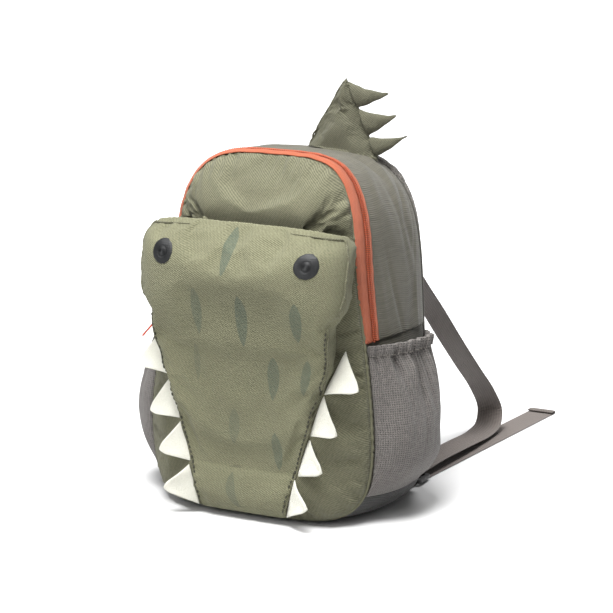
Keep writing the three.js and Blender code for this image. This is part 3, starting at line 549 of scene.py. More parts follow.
def settleCloth(grid, held, settings, wrap=False):
    rows, columns = grid.shape[:2]
    mesh = bpy.data.meshes.new("settling")
    r, c = cells(rows - 1, columns if wrap else columns - 1)
    faces = quadFaces(r, c, r + 1, columns)
    mesh.from_pydata((grid.reshape(-1, 3) * metre).tolist(), [], faces.tolist())
    cloth = addObject("settling", mesh)
    group = cloth.vertex_groups.new(name="seam")
    for index, weight in enumerate(held.ravel()):
        if weight > 0:
            group.add([index], float(weight), "REPLACE")
    modifier = cloth.modifiers.new("Cloth", "CLOTH")
    rules = modifier.settings
    rules.quality = clothRules["quality"]
    rules.mass = clothRules["mass"]
    rules.tension_stiffness = rules.compression_stiffness = settings["stiffness"]
    rules.shear_stiffness = clothRules["shear"]
    rules.bending_stiffness = clothRules["bending"]
    rules.vertex_group_mass = "seam"
    rules.pin_stiffness = 1
    rules.shrink_min = -settings["slack"]
    rules.use_pressure = settings["pressure"] != 0
    rules.uniform_pressure_force = settings["pressure"]
    rules.effector_weights.gravity = 0
    modifier.collision_settings.use_collision = False
    for step in range(1, clothRules["frames"] + 1):
        bpy.context.scene.frame_set(step)
    seen = cloth.evaluated_get(bpy.context.evaluated_depsgraph_get())
    moved = np.zeros(rows * columns * 3)
    seen.data.vertices.foreach_get("co", moved)
    bpy.data.objects.remove(cloth)
    bpy.context.scene.frame_set(1)
    shift = moved.reshape(grid.shape) / metre - grid
    length = np.linalg.norm(shift, axis=-1, keepdims=True)
    shift *= np.minimum(1, settings["most"] / np.maximum(length, 1e-6))
    print("  cloth settled, moved", round(float(length.max()), 1), "mm at most")
    return grid + shift


def refined(grid, times):  # a finer grid through the same surface, on smooth curves
    for axis in (0, 1):
        count = grid.shape[axis]
        fine = np.linspace(0, count - 1, (count - 1) * times + 1)
        i = np.clip(fine.astype(int), 0, count - 2)
        t = (fine - i).reshape((-1, 1, 1) if axis == 0 else (1, -1, 1))
        a, b, c, d = (np.take(grid, np.clip(i + k, 0, count - 1), axis=axis) for k in (-1, 0, 1, 2))
        square, cube = 2 * a - 5 * b + 4 * c - d, 3 * b - a - 3 * c + d
        grid = 0.5 * (2 * b + (c - a) * t + square * t * t + cube * t ** 3)
    return grid


def show(piece, slot, body="bag", replaced=(), fill=None):
    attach(piece, body)
    if replaced:
        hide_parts(*replaced)
    return piece


# Small copies at even steps along lines, by Geometry Nodes: stitches and coil teeth
copyShape = {"Segments": 8, "Rings": 6, "Radius": 0.5}


def rowTree(name, turned):
    tree = bpy.data.node_groups.new(name, "GeometryNodeTree")
    tree.interface.new_socket("Geometry", in_out="INPUT", socket_type="NodeSocketGeometry")
    tree.interface.new_socket("Pitch", in_out="INPUT", socket_type="NodeSocketFloat")
    tree.interface.new_socket("Size", in_out="INPUT", socket_type="NodeSocketVector")
    tree.interface.new_socket("Finish", in_out="INPUT", socket_type="NodeSocketMaterial")
    tree.interface.new_socket("Geometry", in_out="OUTPUT", socket_type="NodeSocketGeometry")
    start, end = tree.nodes.new("NodeGroupInput"), tree.nodes.new("NodeGroupOutput")
    curve = addNode(tree, "GeometryNodeMeshToCurve", {0: start.outputs["Geometry"]})
    row = addNode(tree, "GeometryNodeCurveToPoints", {0: curve, "Length": start.outputs["Pitch"]},
                  mode="LENGTH")
    shape = addNode(tree, "GeometryNodeMeshUVSphere", copyShape)
    copies = addNode(tree, "GeometryNodeInstanceOnPoints", {
        "Points": row.outputs["Points"], "Instance": shape, "Scale": start.outputs["Size"],
        "Rotation": turned(tree, row.outputs["Tangent"])})
    real = addNode(tree, "GeometryNodeRealizeInstances", {0: copies})
    soft = addNode(tree, "GeometryNodeSetShadeSmooth", {0: real})
    painted = addNode(tree, "GeometryNodeSetMaterial", {0: soft, "Material": start.outputs["Finish"]})
    tree.links.new(painted.outputs[0], end.inputs[0])
    return tree


def stitchTurn(tree, tangent):
    return addNode(tree, "FunctionNodeAlignRotationToVector", {"Vector": tangent}, axis="Z")


def toothTurn(tree, tangent):  # along the zipper, and level across it
    lean = addNode(tree, "FunctionNodeAlignRotationToVector", {"Vector": tangent}, axis="X")
    return addNode(tree, "FunctionNodeAlignRotationToVector", {
        "Rotation": lean, "Vector": (0.0, 1.0, 0.0)}, axis="Y", pivot_axis="X")


stitchRow, toothRow = rowTree("stitchRow", stitchTurn), rowTree("coilTeeth", toothTurn)


def copiesAlong(name, lines, tree, pitch, size, material):  # the copies as one plain mesh
    points, edges = [], []
    for line in lines:
        start = len(points)
        points += (np.asarray(line) * metre).tolist()
        edges += [(k, k + 1) for k in range(start, len(points) - 1)]
    mesh = bpy.data.meshes.new(name + "Line")
    mesh.from_pydata(points, edges, [])
    source = addObject(name + "Line", mesh)
    modifier = source.modifiers.new("Copies", "NODES")
    modifier.node_group = tree
    values = {"Pitch": pitch * metre, "Size": [side * metre for side in size], "Finish": material}
    for item in tree.interface.items_tree:
        if item.in_out == "INPUT" and item.name in values:
            modifier[item.identifier] = values[item.name]
    seen = source.evaluated_get(bpy.context.evaluated_depsgraph_get())
    made = addObject(name, bpy.data.meshes.new_from_object(seen))
    bpy.data.objects.remove(source)
    made.data.materials.clear()
    made.data.materials.append(material)
    return made


def stitches(name, lines, thread, pitch, length, thickness):
    return copiesAlong(name, lines, stitchRow, pitch, (thickness, thickness, length), thread)


# Front panel, a square grid pressed into the seam's outline
frontPanel = {
    "columns": 62, "rows": 88, "finer": 2, "wall": 2.6,
    "settle": {"slack": 0.025, "pressure": 1.2, "most": 3.5, "stiffness": 15},
    "pucker": 1.3, "puckerReach": 9, "puckerPitch": 12, "fold": 1.4, "foldReach": 26, "foldPitch": 26,
    "crownInset": 0.016, "insetStart": 150, "insetSpan": 60,
    "creaseHeight": 236, "creaseDepth": 7, "creaseWidth": 15, "creaseLead": 18,
}


def drawnIn(grid):  # the crown of the panel sits a little inside the zipper
    s = frontPanel
    share = 1 - s["crownInset"] * smooth((grid[..., 2:] - s["insetStart"]) / s["insetSpan"])
    middle = np.array([0, 0, formMiddle])
    return np.where([True, False, True], middle + (grid - middle) * share, grid)


def squareGrid(columns, rows, share=0):
    a, b = np.meshgrid(np.linspace(-1, 1, columns), np.linspace(-1, 1, rows))
    power = outlinePower(b)
    norm = (np.abs(a) ** power + np.abs(b) ** power) ** (1 / power)
    inward = np.maximum(np.abs(a), np.abs(b)) / np.maximum(norm, 1e-9)
    z = formMiddle + formRise * b * inward
    return form["halfWidth"] * narrowing(z, share) * a * inward, z


def makeFrontPanel():
    s = frontPanel
    x, z = squareGrid(s["columns"], s["rows"])
    grid = drawnIn(point(x, panelY(x, z), z))
    held = np.zeros(grid.shape[:2])
    held[0], held[-1], held[:, 0], held[:, -1] = 1, 1, 1, 1
    grid = refined(settleCloth(grid, held, s["settle"]), s["finer"])
    x, z = grid[..., 0], grid[..., 2]
    inside = 100 * (1 - np.minimum(seamShare(x, z), 1))
    along = 150 * np.arctan2(z - formMiddle, x)
    pucker = s["pucker"] * np.exp(-inside / s["puckerReach"]) * ripple(11, s["puckerPitch"], along)
    fold = s["fold"] * np.exp(-inside / s["foldReach"]) * ripple(12, s["foldPitch"], along, 0.5 * inside)
    crease = s["creaseDepth"] * np.exp(-((z - s["creaseHeight"]) / s["creaseWidth"]) ** 2)
    crease = crease * smooth(inside / s["creaseLead"])
    away = facing(grid, (0, -1, 0))
    grid = grid + away * ((pucker + fold) * smooth(inside / 3) - crease)[..., None]
    made = clothWall("frontPanelTwill", grid, s["wall"], (0, -1, 0), finish["twill"], flatUv(grid))
    show(made, "twill", replaced=["front_panel"], fill=0.5)


makeFrontPanel()
print("front panel made")


# The head: brow, snout, rim, seams, teeth and eyes
head = {
    "halfWidth": 97, "foot": 6, "top": 247, "reach": 96, "rootPinch": 0.15, "rimFall": 9, "fallStart": 0.88,
    "footPower": 4.6, "topPower": 3.4, "roll": 9, "rollStart": 205, "seatGap": 2.2, "slack": 2.4, "wall": 3,
    "wide": [(0, 0.4), (0.15, 0.49), (0.3, 0.597), (0.445, 0.715), (0.585, 0.845), (0.68, 0.9),
             (0.74, 0.985), (0.8, 1), (0.92, 1), (0.965, 0.985), (1, 0.925)],
    "forward": [(0, 0.71), (0.15, 0.75), (0.3, 0.79), (0.445, 0.823), (0.585, 0.875), (0.68, 0.93),
                (0.74, 0.965), (0.8, 0.985), (0.92, 0.99), (0.965, 0.93), (1, 0.82)],
    "rows": 70, "columns": 78, "finer": 2, "calmFoot": 75,
    "settle": {"slack": 0.02, "pressure": 1.0, "most": 4, "stiffness": 15},
    "pucker": 0.9, "puckerReach": 7, "puckerPitch": 10, "fold": 0.9, "foldReach": 22, "foldPitch": 24,
    "footReach": 9, "footPitch": 13, "slow": 0.7, "slowPitch": 85, "leftShift": 400,
}


def headSection(z):
    up = (z - head["foot"]) / (head["top"] - head["foot"])
    half = head["halfWidth"] * readCurve(head["wide"], up)
    pinch = head["rootPinch"] * smooth((up - 0.45) / 0.3)
    fall = head["rimFall"] * smooth((z / head["top"] - head["fallStart"]) / (1 - head["fallStart"]))
    rootY = panelY(half * (1 - pinch), z - fall) - head["seatGap"]
    clear = panelY(np.zeros_like(half), z) - head["slack"] - head["wall"]
    faceY = np.minimum(-head["reach"] * readCurve(head["forward"], up), clear)
    return half, pinch, fall, rootY, faceY, mix(head["footPower"], head["topPower"], smooth(up))


def headPoint(z, turn):  # turn 0 at the right root, over the face, to pi at the left root
    half, pinch, fall, rootY, faceY, power = headSection(z)
    out = np.sin(turn) ** (2 / power)
    x = half * powered(np.cos(turn), 2 / power) * (1 - pinch * (1 - out) ** 2)
    rolled = head["roll"] * smooth((z - head["rollStart"]) / (head["top"] - head["rollStart"])) ** 1.6
    return point(x, mix(rootY, faceY + rolled, out), z - fall * (1 - out ** 2))


def headGrid(rows, columns):
    turns = np.linspace(0, math.pi, 1200)
    lines = []
    for z in np.linspace(head["foot"], head["top"], rows):
        lines.append(evenly(headPoint(np.full_like(turns, z), turns), columns))
    return np.stack(lines)


def makeHead():
    s = head
    grid = headGrid(s["rows"], s["columns"])
    held = np.zeros(grid.shape[:2])
    held[:, 0], held[:, -1], held[0] = 1, 1, 1
    held[-1] = 0.85
    settled = settleCloth(grid, held, s["settle"])
    calm = smooth((grid[..., 2:] - s["foot"]) / s["calmFoot"])
    grid = refined(grid + (settled - grid) * calm, s["finer"])
    z = grid[..., 2]
    run = distances(grid, 1)
    side = np.minimum(run, run[:, -1:] - run)  # how far a point is from its root seam
    leftSide = run > run[:, -1:] / 2
    place = z + s["leftShift"] * leftSide  # so that the two sides differ
    pucker = s["pucker"] * np.exp(-side / s["puckerReach"]) * ripple(21, s["puckerPitch"], place)
    fold = s["fold"] * np.exp(-side / s["foldReach"]) * ripple(22, s["foldPitch"], place, 0.6 * side)
    foot = np.exp(-(z - s["foot"]) / s["footReach"]) * ripple(23, s["footPitch"], grid[..., 0])
    slow = s["slow"] * ripple(24, s["slowPitch"], grid[..., 0], z)
    rise = (pucker + fold + foot + slow) * smooth(side / 3) * smooth((z - s["foot"]) / 4)
    grid = grid + facing(grid, (0, -1, 0)) * rise[..., None]
    made = clothWall("headTwillPaintedLight", grid, s["wall"], (0, -1, 0), headTwillPaintedLight)
    show(made, "twill", replaced=["head_pocket"], fill=0.55)
    return grid


headSurface = makeHead()
headNormals = facing(headSurface, (0, -1, 0))
print("head made")


def headLine(heights, inset, side, lift):  # a line on the head's face, some way in from its side edge
    middle = headSurface.shape[1] // 2
    columns = np.arange(middle, -1, -1) if side > 0 else np.arange(middle, headSurface.shape[1])
    face, normals = headSurface[:, columns], headNormals[:, columns]
    reach = np.abs(face[..., 0]).max(axis=1)
    reach = np.convolve(np.pad(reach, 8, "edge"), np.ones(17) / 17, "valid")
    line = []
    for row in np.searchsorted(face[:, 0, 2], heights):
        across = np.abs(face[row, :, 0])
        last = across.argmax() + 1
        rising = np.maximum.accumulate(across[:last])
        target = min(reach[row], rising[-1]) - inset
        on = [np.interp(target, rising, face[row, :last, k]) for k in range(3)]
        out = [np.interp(target, rising, normals[row, :last, k]) for k in range(3)]
        line.append(np.array(on) + lift * np.array(out))
    return smoothPath(line[::9], 150)


def onHead(x, z):  # the head's face over a place in the front view
    flat = headSurface.reshape(-1, 3)
    flat = flat[flat[:, 1] < -60]
    found = []
    for px, pz in zip(np.ravel(x), np.ravel(z)):
        gap = (flat[:, 0] - px) ** 2 + (flat[:, 2] - pz) ** 2
        near = np.argpartition(gap, 4)[:4]
        weight = 1 / (gap[near] + 1e-4)
        found.append([px, (flat[near, 1] * weight).sum() / weight.sum(), pz])
    return np.array(found).reshape(*np.shape(x), 3)


seams = {"heights": (14, 169), "inset": 1.7, "stitch": (4.2, 3.1, 1.5), "ridgeInset": 0.2, "ridge": 0.9}
brow = {"heights": (180, 236), "inset": 0.4, "radius": 1.1, "thin": 0.25, "thinStart": 0.6,
        "uneven": 0.15, "unevenPitch": 9, "cornerStop": 27}


cord = {"around": 10, "shut": 0.15}


def cordRings(tangents, level):  # circles of radius 1 across a line
    side = unit(np.cross(tangents, level))
    other = np.cross(tangents, side)
    turns = 2 * math.pi * np.arange(cord["around"]) / cord["around"]
    return np.cos(turns)[None, :, None] * side[:, None] + np.sin(turns)[None, :, None] * other[:, None]


def roundTube(name, line, radius, material, slot):  # a cord along a line, thin at its ends
    line = np.asarray(line, float)
    rings = cordRings(unit(np.gradient(line, axis=0)), (0, 1, 0.2))
    taper = np.minimum(1, np.minimum(np.arange(len(line)), np.arange(len(line))[::-1]) / 3 + cord["shut"])
    size = (np.broadcast_to(radius, len(line)) * taper)[:, None, None]
    show(tube(name, line[:, None] + size * rings, material), slot)


def makeHeadSeams():
    s = seams
    heights = np.linspace(*s["heights"], 130)
    for word, side in bothSides:
        line = headLine(heights, s["inset"], side, 0.35)
        show(stitches("snoutStitches" + word, [line], greenThread, *s["stitch"]), "twill")
        ridge = headLine(heights, s["ridgeInset"], side, 0.2)
        roundTube("snoutRidge" + word, ridge, s["ridge"], finish["twill"], "twill")


def browEdge(side):  # up the brow's side, round its corner and along the rim
    sideLine = headLine(np.linspace(*brow["heights"], 60), brow["inset"], side, 0.5)
    count, stop = headSurface.shape[1], brow["cornerStop"]
    columns = np.arange(0, count // 2 - stop) if side > 0 else np.arange(count - 1, count // 2 + stop, -1)
    rim = headSurface[-3, columns]
    rim = rim[np.abs(rim[:, 0]).argmax():][5:]
    rim = rim + unit(rim * (1, 0, 0) + (0, -60, 40)) * 0.5
    return smoothPath(np.vstack([sideLine[:-4:10], rim[::6]]), 210)


def makeBrowRidges():
    s = brow
    for word, side in bothSides:
        path = browEdge(side)
        share = np.linspace(0, 1, len(path))
        thinner = 1 - (1 - s["thin"]) * smooth((share - s["thinStart"]) / (1 - s["thinStart"]))
        uneven = 1 + s["uneven"] * ripple(31 + side, s["unevenPitch"], share * 190)
        radius = s["radius"] * thinner * uneven
        roundTube("browRidge" + word, path, radius, finish["twill"], "twill")


makeHeadSeams()
makeBrowRidges()

eye = {"radius": 9.7, "ring": 4, "ringWidth": 0.8, "ringDepth": 0.35, "rise": 0.55, "threads": 96,
       "thread": 0.22, "places": {"Right": (66.6, 221.6), "Left": (-61.8, 222.6)}}


def makeEye(word):
    # satin stitches radiate from the middle, over a low pad, with a fine inner ring
    s = eye
    x0, z0 = s["places"][word]
    rings = np.r_[np.linspace(0.04, 0.34, 6), np.linspace(0.4, 1, 14)]
    turns = 2 * math.pi * np.arange(s["threads"] * 2) / (s["threads"] * 2)
    share, turn = np.meshgrid(rings, turns, indexing="ij")
    uneven = 1 + 0.012 * ripple(41, 0.5, turn) * share
    x = x0 + s["radius"] * share * np.cos(turn) * uneven
    z = z0 + s["radius"] * share * np.sin(turn) * uneven
    threads = s["thread"] * (np.arange(len(turns)) % 2)[None, :] * smooth(share * 3)
    groove = s["ringDepth"] * np.exp(-((share * s["radius"] - s["ring"]) / s["ringWidth"]) ** 2)
    pad = s["rise"] * (1 - share ** 6) ** 0.5 + threads - groove
    base = onHead(x, z)
    top = base + point(0, -0.2 - pad, 0)
    under = base + point(0, 0.4, 0)
    loops = np.concatenate([top, under[::-1]])
    made = tube(f"eyeThread{word}", loops, finish["eye_thread"])
    show(made, "eye_thread", replaced=[f"eye_{word.lower()}"])


for word in eye["places"]:
    makeEye(word)
print("eyes and seams made")

teeth = {
    "highest": 147.5, "pitch": 35.3, "thickness": 3, "tipWidth": 6, "cup": 2, "gap": 0.5, "rootGap": 1.5,
    "rootTilt": 0.07, "lift": 0.6, "rounding": 0.2, "uneven": 0.25, "unevenPitch": 9,
    "rows": [{"out": 23, "forward": 6, "droop": 11}, {"out": 20.5, "forward": 7, "droop": 12},
             {"out": 20.5, "forward": 10, "droop": 8}, {"out": 21, "forward": 14, "droop": 2}],
}


def toothRoot(high, low, side, forward):
    z = np.array([low, high])
    x = headSection(z)[0] + teeth["rootGap"] + forward * teeth["rootTilt"]
    ends = point(x, panelY(x, z), z)
    along = ends[0] + (ends[1] - ends[0]) * np.linspace(0, 1, 5)[:, None]
    bulge = (along[:, 1] - panelY(along[:, 0], along[:, 2])).max()
    return point(side * ends[:, 0], ends[:, 1] - bulge - teeth["lift"], ends[:, 2])


def makeTooth(word, number, side):
    s, row = teeth, teeth["rows"][number]
    high = s["highest"] - number * s["pitch"]
    low, top = toothRoot(high - s["gap"], high - s["pitch"] + s["gap"], side, row["forward"])
    middle = (low + top) / 2
    tip = middle + np.array([side * row["out"], -row["forward"], -row["droop"]])
    rootLine = top - low
    along = unit(rootLine)
    normal = unit(np.cross(tip - middle, rootLine)) * side
    out = np.r_[np.linspace(0, 0.8, 22), 0.8 + 0.2 * np.sin(np.linspace(0.08, 1, 12) * math.pi / 2)]
    rounding = np.sqrt(np.maximum(1 - np.clip((out - 1) / s["rounding"] + 1, 0, 1) ** 2, 0.03))
    width = mix(np.linalg.norm(rootLine), s["tipWidth"], out ** 0.94) * rounding
    turns = 2 * math.pi * np.arange(28) / 28
    across, thick = powered(np.cos(turns), 0.55), powered(np.sin(turns), 0.8)
    flat = middle + (tip - middle) * out[:, None]
    cup = s["cup"] * np.sin(math.pi * out)[:, None] * across[None] ** 2
    puffed = s["thickness"] / 2 * (0.8 + 0.35 * np.sin(math.pi * np.clip(out, 0, 1)))[:, None] * thick[None]
    lengthwise, widthwise = 12 * out[:, None] + 0 * cup, 8 * across[None] + 0 * cup
    soft = s["uneven"] * ripple(50 + number + 7 * side, s["unevenPitch"], lengthwise, widthwise)
    lift = cup + puffed + s["thickness"] / 2 + soft
    loops = flat[:, None] + (across[None] * width[:, None] / 2)[..., None] * along + lift[..., None] * normal
    made = tube(f"felt{word}{number + 1}", loops, finish["felt"])
    show(made, "felt", replaced=[f"tooth_{word.lower()}_{number + 1}"])


for word, side in bothSides:
    for number in range(4):
        makeTooth(word, number, side)
print("teeth made")


# Sides, base and zipper along the band between the seams
band = {"panelWall": 2.6, "frontTape": 6.2, "coil": 4, "backTape": 3, "tape": 1.2, "backEdge": 2.4,
        "gussetWall": 1.8, "gussetLift": 0.8, "baseWall": 2.2}
bandStart = band["panelWall"] + 2 * form["sewnGap"]
coilStart = bandStart + band["frontTape"] + form["sewnGap"]
zipMiddle = coilStart + band["coil"] / 2
backTapeStart = coilStart + band["coil"] + form["sewnGap"]
gussetStart = backTapeStart + band["backTape"] + form["sewnGap"]
bandEnd = band["backEdge"] + form["sewnGap"]
archEnds = (float(angleAt(form["zipEnd"])), math.pi - float(angleAt(form["zipEnd"])))


def bandGrid(angles, start, end, columns, lift=0.0):
    angles = angles[:, None]
    depth = bandDepth(angles)
    last = depth - bandEnd if end is None else end
    across = mix(start, last, np.linspace(0, 1, columns)[None, :])
    return bandPoint(angles, across / depth, lift), across


def outOfBand(grid):  # away from the bag's middle line
    return grid * (1, 0, 1) - np.array([0, 0, formMiddle])


def acrossWall(name, grid, wall, material):  # a cloth wall along the band, its rows across it
    turned = grid.swapaxes(0, 1)
    return clothWall(name, turned, wall, outOfBand(turned), material, clothUv(turned)[..., ::-1])


creaseDraw = {"length": (35, 95), "slant": 0.35, "width": (0.7, 1.6)}


def creases(seed, along, across, count, spans, width, depth):
    # long soft dents, each a straight run that fades at its ends
    draw = np.random.default_rng(seed)
    most = creaseDraw["slant"]
    total = np.zeros(np.broadcast(along, across).shape)
    for _ in range(count):
        a = draw.uniform(*spans[0])
        w = draw.uniform(*spans[1])
        length, slant = draw.uniform(*creaseDraw["length"]), draw.uniform(-most, most)
        near = (along - a) / length
        gap = (across - w - slant * (along - a)) / (width * draw.uniform(*creaseDraw["width"]))
        total += draw.uniform(0.4, 1) * np.exp(-gap ** 2) * np.exp(-(2 * near) ** 2) * draw.choice([-1, 0.7])
    return depth * total


gusset = {"columns": 52, "creases": 16, "creaseSpan": (6, 92), "creaseWidth": 3.4, "creaseDepth": 1.7,
          "sideReach": 150, "topFrom": 130, "pucker": 0.5, "puckerReach": 5, "puckerPitch": 9}


def makeGusset():
    s = gusset
    angles = anglesAlong(*archEnds, 260)
    grid, across = bandGrid(angles, gussetStart, None, s["columns"], band["gussetLift"])
    along = distances(grid, 0)
    length = along[-1].mean()
    nearest, farthest = s["creaseSpan"]
    parts = ((61, (0, s["sideReach"])), (62, (length - s["sideReach"], length)),
             (63, (s["topFrom"], length - s["topFrom"])))
    dents = sum(creases(seed, along, across, s["creases"], (start, (gussetStart + nearest, farthest)),
                        s["creaseWidth"], s["creaseDepth"]) for seed, start in parts)
    edge = np.minimum(across - gussetStart, across[:, -1:] - across)
    pucker = s["pucker"] * np.exp(-edge / s["puckerReach"]) * ripple(64, s["puckerPitch"], along)
    away = facing(grid, outOfBand(grid))
    grid = grid + away * ((dents * smooth(edge / 8) + pucker) * smooth(edge / 1.5))[..., None]
    show(acrossWall("gussetNylon", grid, band["gussetWall"], finish["gusset_nylon"]), "gusset_nylon",
         replaced=["gusset"])


# The front tape goes on under the panel's seam, as far as it is tucked
tapeLook = {"tucked": 2.6, "flat": 0.5, "hump": 0.7, "drop": 1.2, "wave": 0.18, "wavePitch": 17}


def makeTapes():
    s = tapeLook
    angles = anglesAlong(*archEnds, 320)
    tucked = s["tucked"]
    tapes = (("zipTapeFront", bandStart - tucked, band["frontTape"] + tucked, "zipper_tape_front"),
             ("zipTapeBack", backTapeStart, band["backTape"], "zipper_tape_back"))
    for name, start, width, node in tapes:
        grid, across = bandGrid(angles, start, start + width, 9, band["tape"] / 2)
        hump = s["flat"] + s["hump"] * np.sin(math.pi * np.clip((across - start) / width, 0, 1)) ** 0.8
        hump = hump - s["drop"] * (1 - smooth((across - bandStart + tucked) / tucked))
        wave = s["wave"] * ripple(71, s["wavePitch"], distances(grid, 0))
        grid = grid + facing(grid, outOfBand(grid)) * (hump + wave)[..., None]
        show(acrossWall(name, grid, band["tape"], finish["zipper_tape"]), "zipper_tape", replaced=[node])


coilLook = {"pitch": 1.7, "tooth": (1.15, 2.2, 1.7), "rowGap": 1.0, "lift": 1.5,
            "bed": 0.8, "bedEdge": 0.2, "bedLift": 0.1}


def makeCoil():
    s = coilLook
    angles = anglesAlong(*archEnds, 330)
    depth = bandDepth(angles)
    lines = [bandPoint(angles, (zipMiddle + side * s["rowGap"]) / depth, s["lift"]) for side in (-1, 1)]
    lines[1] = lines[1][1:-1]
    made = copiesAlong("zipCoil", lines, toothRow, s["pitch"], s["tooth"], finish["zipper_coil"])
    show(made, "zipper_coil", replaced=["zipper_coil"])
    start, end = coilStart - s["bedEdge"], coilStart + band["coil"] + s["bedEdge"]
    grid, _ = bandGrid(angles, start, end, 5, s["bedLift"])
    show(acrossWall("zipCoilTape", grid, s["bed"], finish["zipper_tape"]), "zipper_tape")


makeGusset()
makeTapes()
makeCoil()
print("gusset and zipper made")


def makeSide(word, side):
    heights = np.linspace(form["baseRise"] + form["sewnGap"], form["zipEnd"] - 0.6, 70)
    angles = angleAt(heights)
    angles = angles if side > 0 else math.pi - angles
    grid, _ = bandGrid(angles, bandStart, None, 60)
    made = clothWall("sideNylon" + word, grid, band["gussetWall"], outOfBand(grid), finish["gusset_nylon"])
    show(made, "gusset_nylon", replaced=[f"side_panel_{word.lower()}"])


def makeBase():
    right = float(angleAt(form["baseRise"]))
    angles = anglesAlong(math.pi - right, 2 * math.pi + right, 260)
    grid, _ = bandGrid(angles, bandStart, None, 56)
    show(acrossWall("baseNylon", grid, band["baseWall"], finish["base_nylon"]), "base_nylon",
         replaced=["base_panel"])


makeBase()
for word, side in bothSides:
    makeSide(word, side)
print("base and sides made")

pocket = {
    "wall": 1.2, "top": 137, "swell": 13, "mouthGap": 6.2, "rimFall": 5, "lead": 0.8, "front": 0.026,
    "back": 0.94, "folds": 6, "foldDepth": 1.5, "seatGap": 0.6, "rows": 72, "columns": 170,
    "out": [(0, 0.02), (0.08, 0.55), (0.25, 0.95), (0.45, 1), (0.8, 0.62), (1, 0.12)],
    "hemHeight": 9, "hemThickness": 2.6, "ruffles": 27, "ruffleDepth": 1.7,
    "gather": 1.5, "gatherPitch": 0.06, "sag": 0.9, "sagPitch": 0.3, "width": 100, "height": 112,
    "dents": 12, "dentSpans": ((55, 112), (8, 92)), "dentWidth": 2.6, "dentDepth": 1.0,
    "stitch": (2.6, 1.9, 0.55),
}


def pocketPoint(side, up, along, lift=0.0):
    s = pocket
    rim = s["top"] - s["rimFall"] * (along - 0.5) * smooth(up)
    angle = angleAt(mix(form["baseRise"] + 1, rim, up))
    seat = bandPoint(angle, mix(s["front"], s["back"], along))
    lead = along ** mix(s["lead"], 1, smooth(2 * up - 1))
    edge = (1 - np.abs(2 * lead - 1) ** 3) ** 0.8
    fold = s["foldDepth"] * smooth((up - 0.35) / 0.65) * (0.4 + np.cos(2 * math.pi * s["folds"] * along))
    mouth = s["mouthGap"] * smooth(up * 4)
    swell = s["swell"] * readCurve(s["out"], up)
    x = seat[..., 0] + s["seatGap"] + lift + (mouth + swell + fold) * edge
    return point(side * x, seat[..., 1], seat[..., 2])


def makePocket(word, side):
    s = pocket
    up, along = np.meshgrid(np.linspace(0, 1, s["rows"]), np.linspace(0, 1, s["columns"]), indexing="ij")
    grid = pocketPoint(side, up, along, s["wall"])
    gather = smooth((up - 0.3) / 0.7) ** 1.5
    seed = 80 + side
    fine = s["gather"] * gather * ripple(seed, s["gatherPitch"], along, 0.1 * up)
    sag = s["sag"] * smooth(up / 0.15) * smooth((1 - up) / 0.3)
    sag = sag * ripple(seed + 3, s["sagPitch"], along * 0.8, up * 0.7)
    edge = smooth(np.minimum(along, 1 - along) / 0.06) * smooth(up / 0.06)
    dents = creases(seed + 5, s["height"] * up, s["width"] * along, s["dents"], s["dentSpans"],
                    s["dentWidth"], s["dentDepth"])
    grid = grid + facing(grid, (side, 0, 0)) * ((fine + sag + dents) * edge)[..., None]
    made = clothWall("pocketMesh" + word, grid, s["wall"], (side, 0, 0), finish["pocket_mesh"])
    show(made, "pocket_mesh", replaced=[f"side_pocket_{word.lower()}"])
    makeHem(word, side, grid[-1], seed + 9)


def makeHem(word, side, rim, seed):  # the elastic edge, ruffled along the pocket's rim
    s = pocket
    along = np.linspace(0, 1, 420)
    path = evenly(rim, len(along))
    phase = 2 * math.pi * (s["ruffles"] * along + 0.35 * ripple(seed, 0.3, along))
    wave = s["ruffleDepth"] * (0.6 + np.abs(np.sin(phase / 2)) ** 0.7) * np.sin(math.pi * along) ** 0.3
    turns = np.linspace(0, 2 * math.pi, 20, endpoint=False)
    high = s["hemHeight"] / 2
    up = powered(np.sin(turns), 0.6)
    out = powered(np.cos(turns), 0.8)
    tall = high * (1 + 0.06 * np.sin(phase))
    belly = wave[:, None] * (0.35 + 0.65 * smooth((up[None] + 1) / 2)) * (out[None] > 0)
    thick = s["hemThickness"] / 2
    x = path[:, 0, None] + side * (belly + thick * out[None] - 0.2)
    z = path[:, 2, None] + 0.3 + high + tall[:, None] * up[None]
    y = path[:, 1, None] + 0 * x
    made = tube("pocketHem" + word, point(x, y, z), finish["pocket_mesh"])
    show(made, "pocket_mesh", replaced=[f"pocket_hem_{word.lower()}"])
    line = path + point(side * (1.2 + wave), 0, 1.0)
    show(stitches("hemStitches" + word, [line[6:-6]], greyThread, *s["stitch"]), "pocket_mesh")


for word, side in bothSides:
    makePocket(word, side)
print("pockets made")


# Back panel against the wearer, padded and quilted in channels
backPanel = {"columns": 60, "rows": 84, "finer": 2, "puff": 5, "wall": 3, "edge": 2.4, "stuffing": 3,
             "channels": (-34, 34), "channelWidth": 3.2, "channelDepth": 3.4,
             "channelSpan": (38, 250), "channelEnd": 12, "heldWidth": 2.2, "stitch": (4, 2.9, 0.8),
             "settle": {"slack": 0.02, "pressure": 0.6, "most": 2.5, "stiffness": 15}}


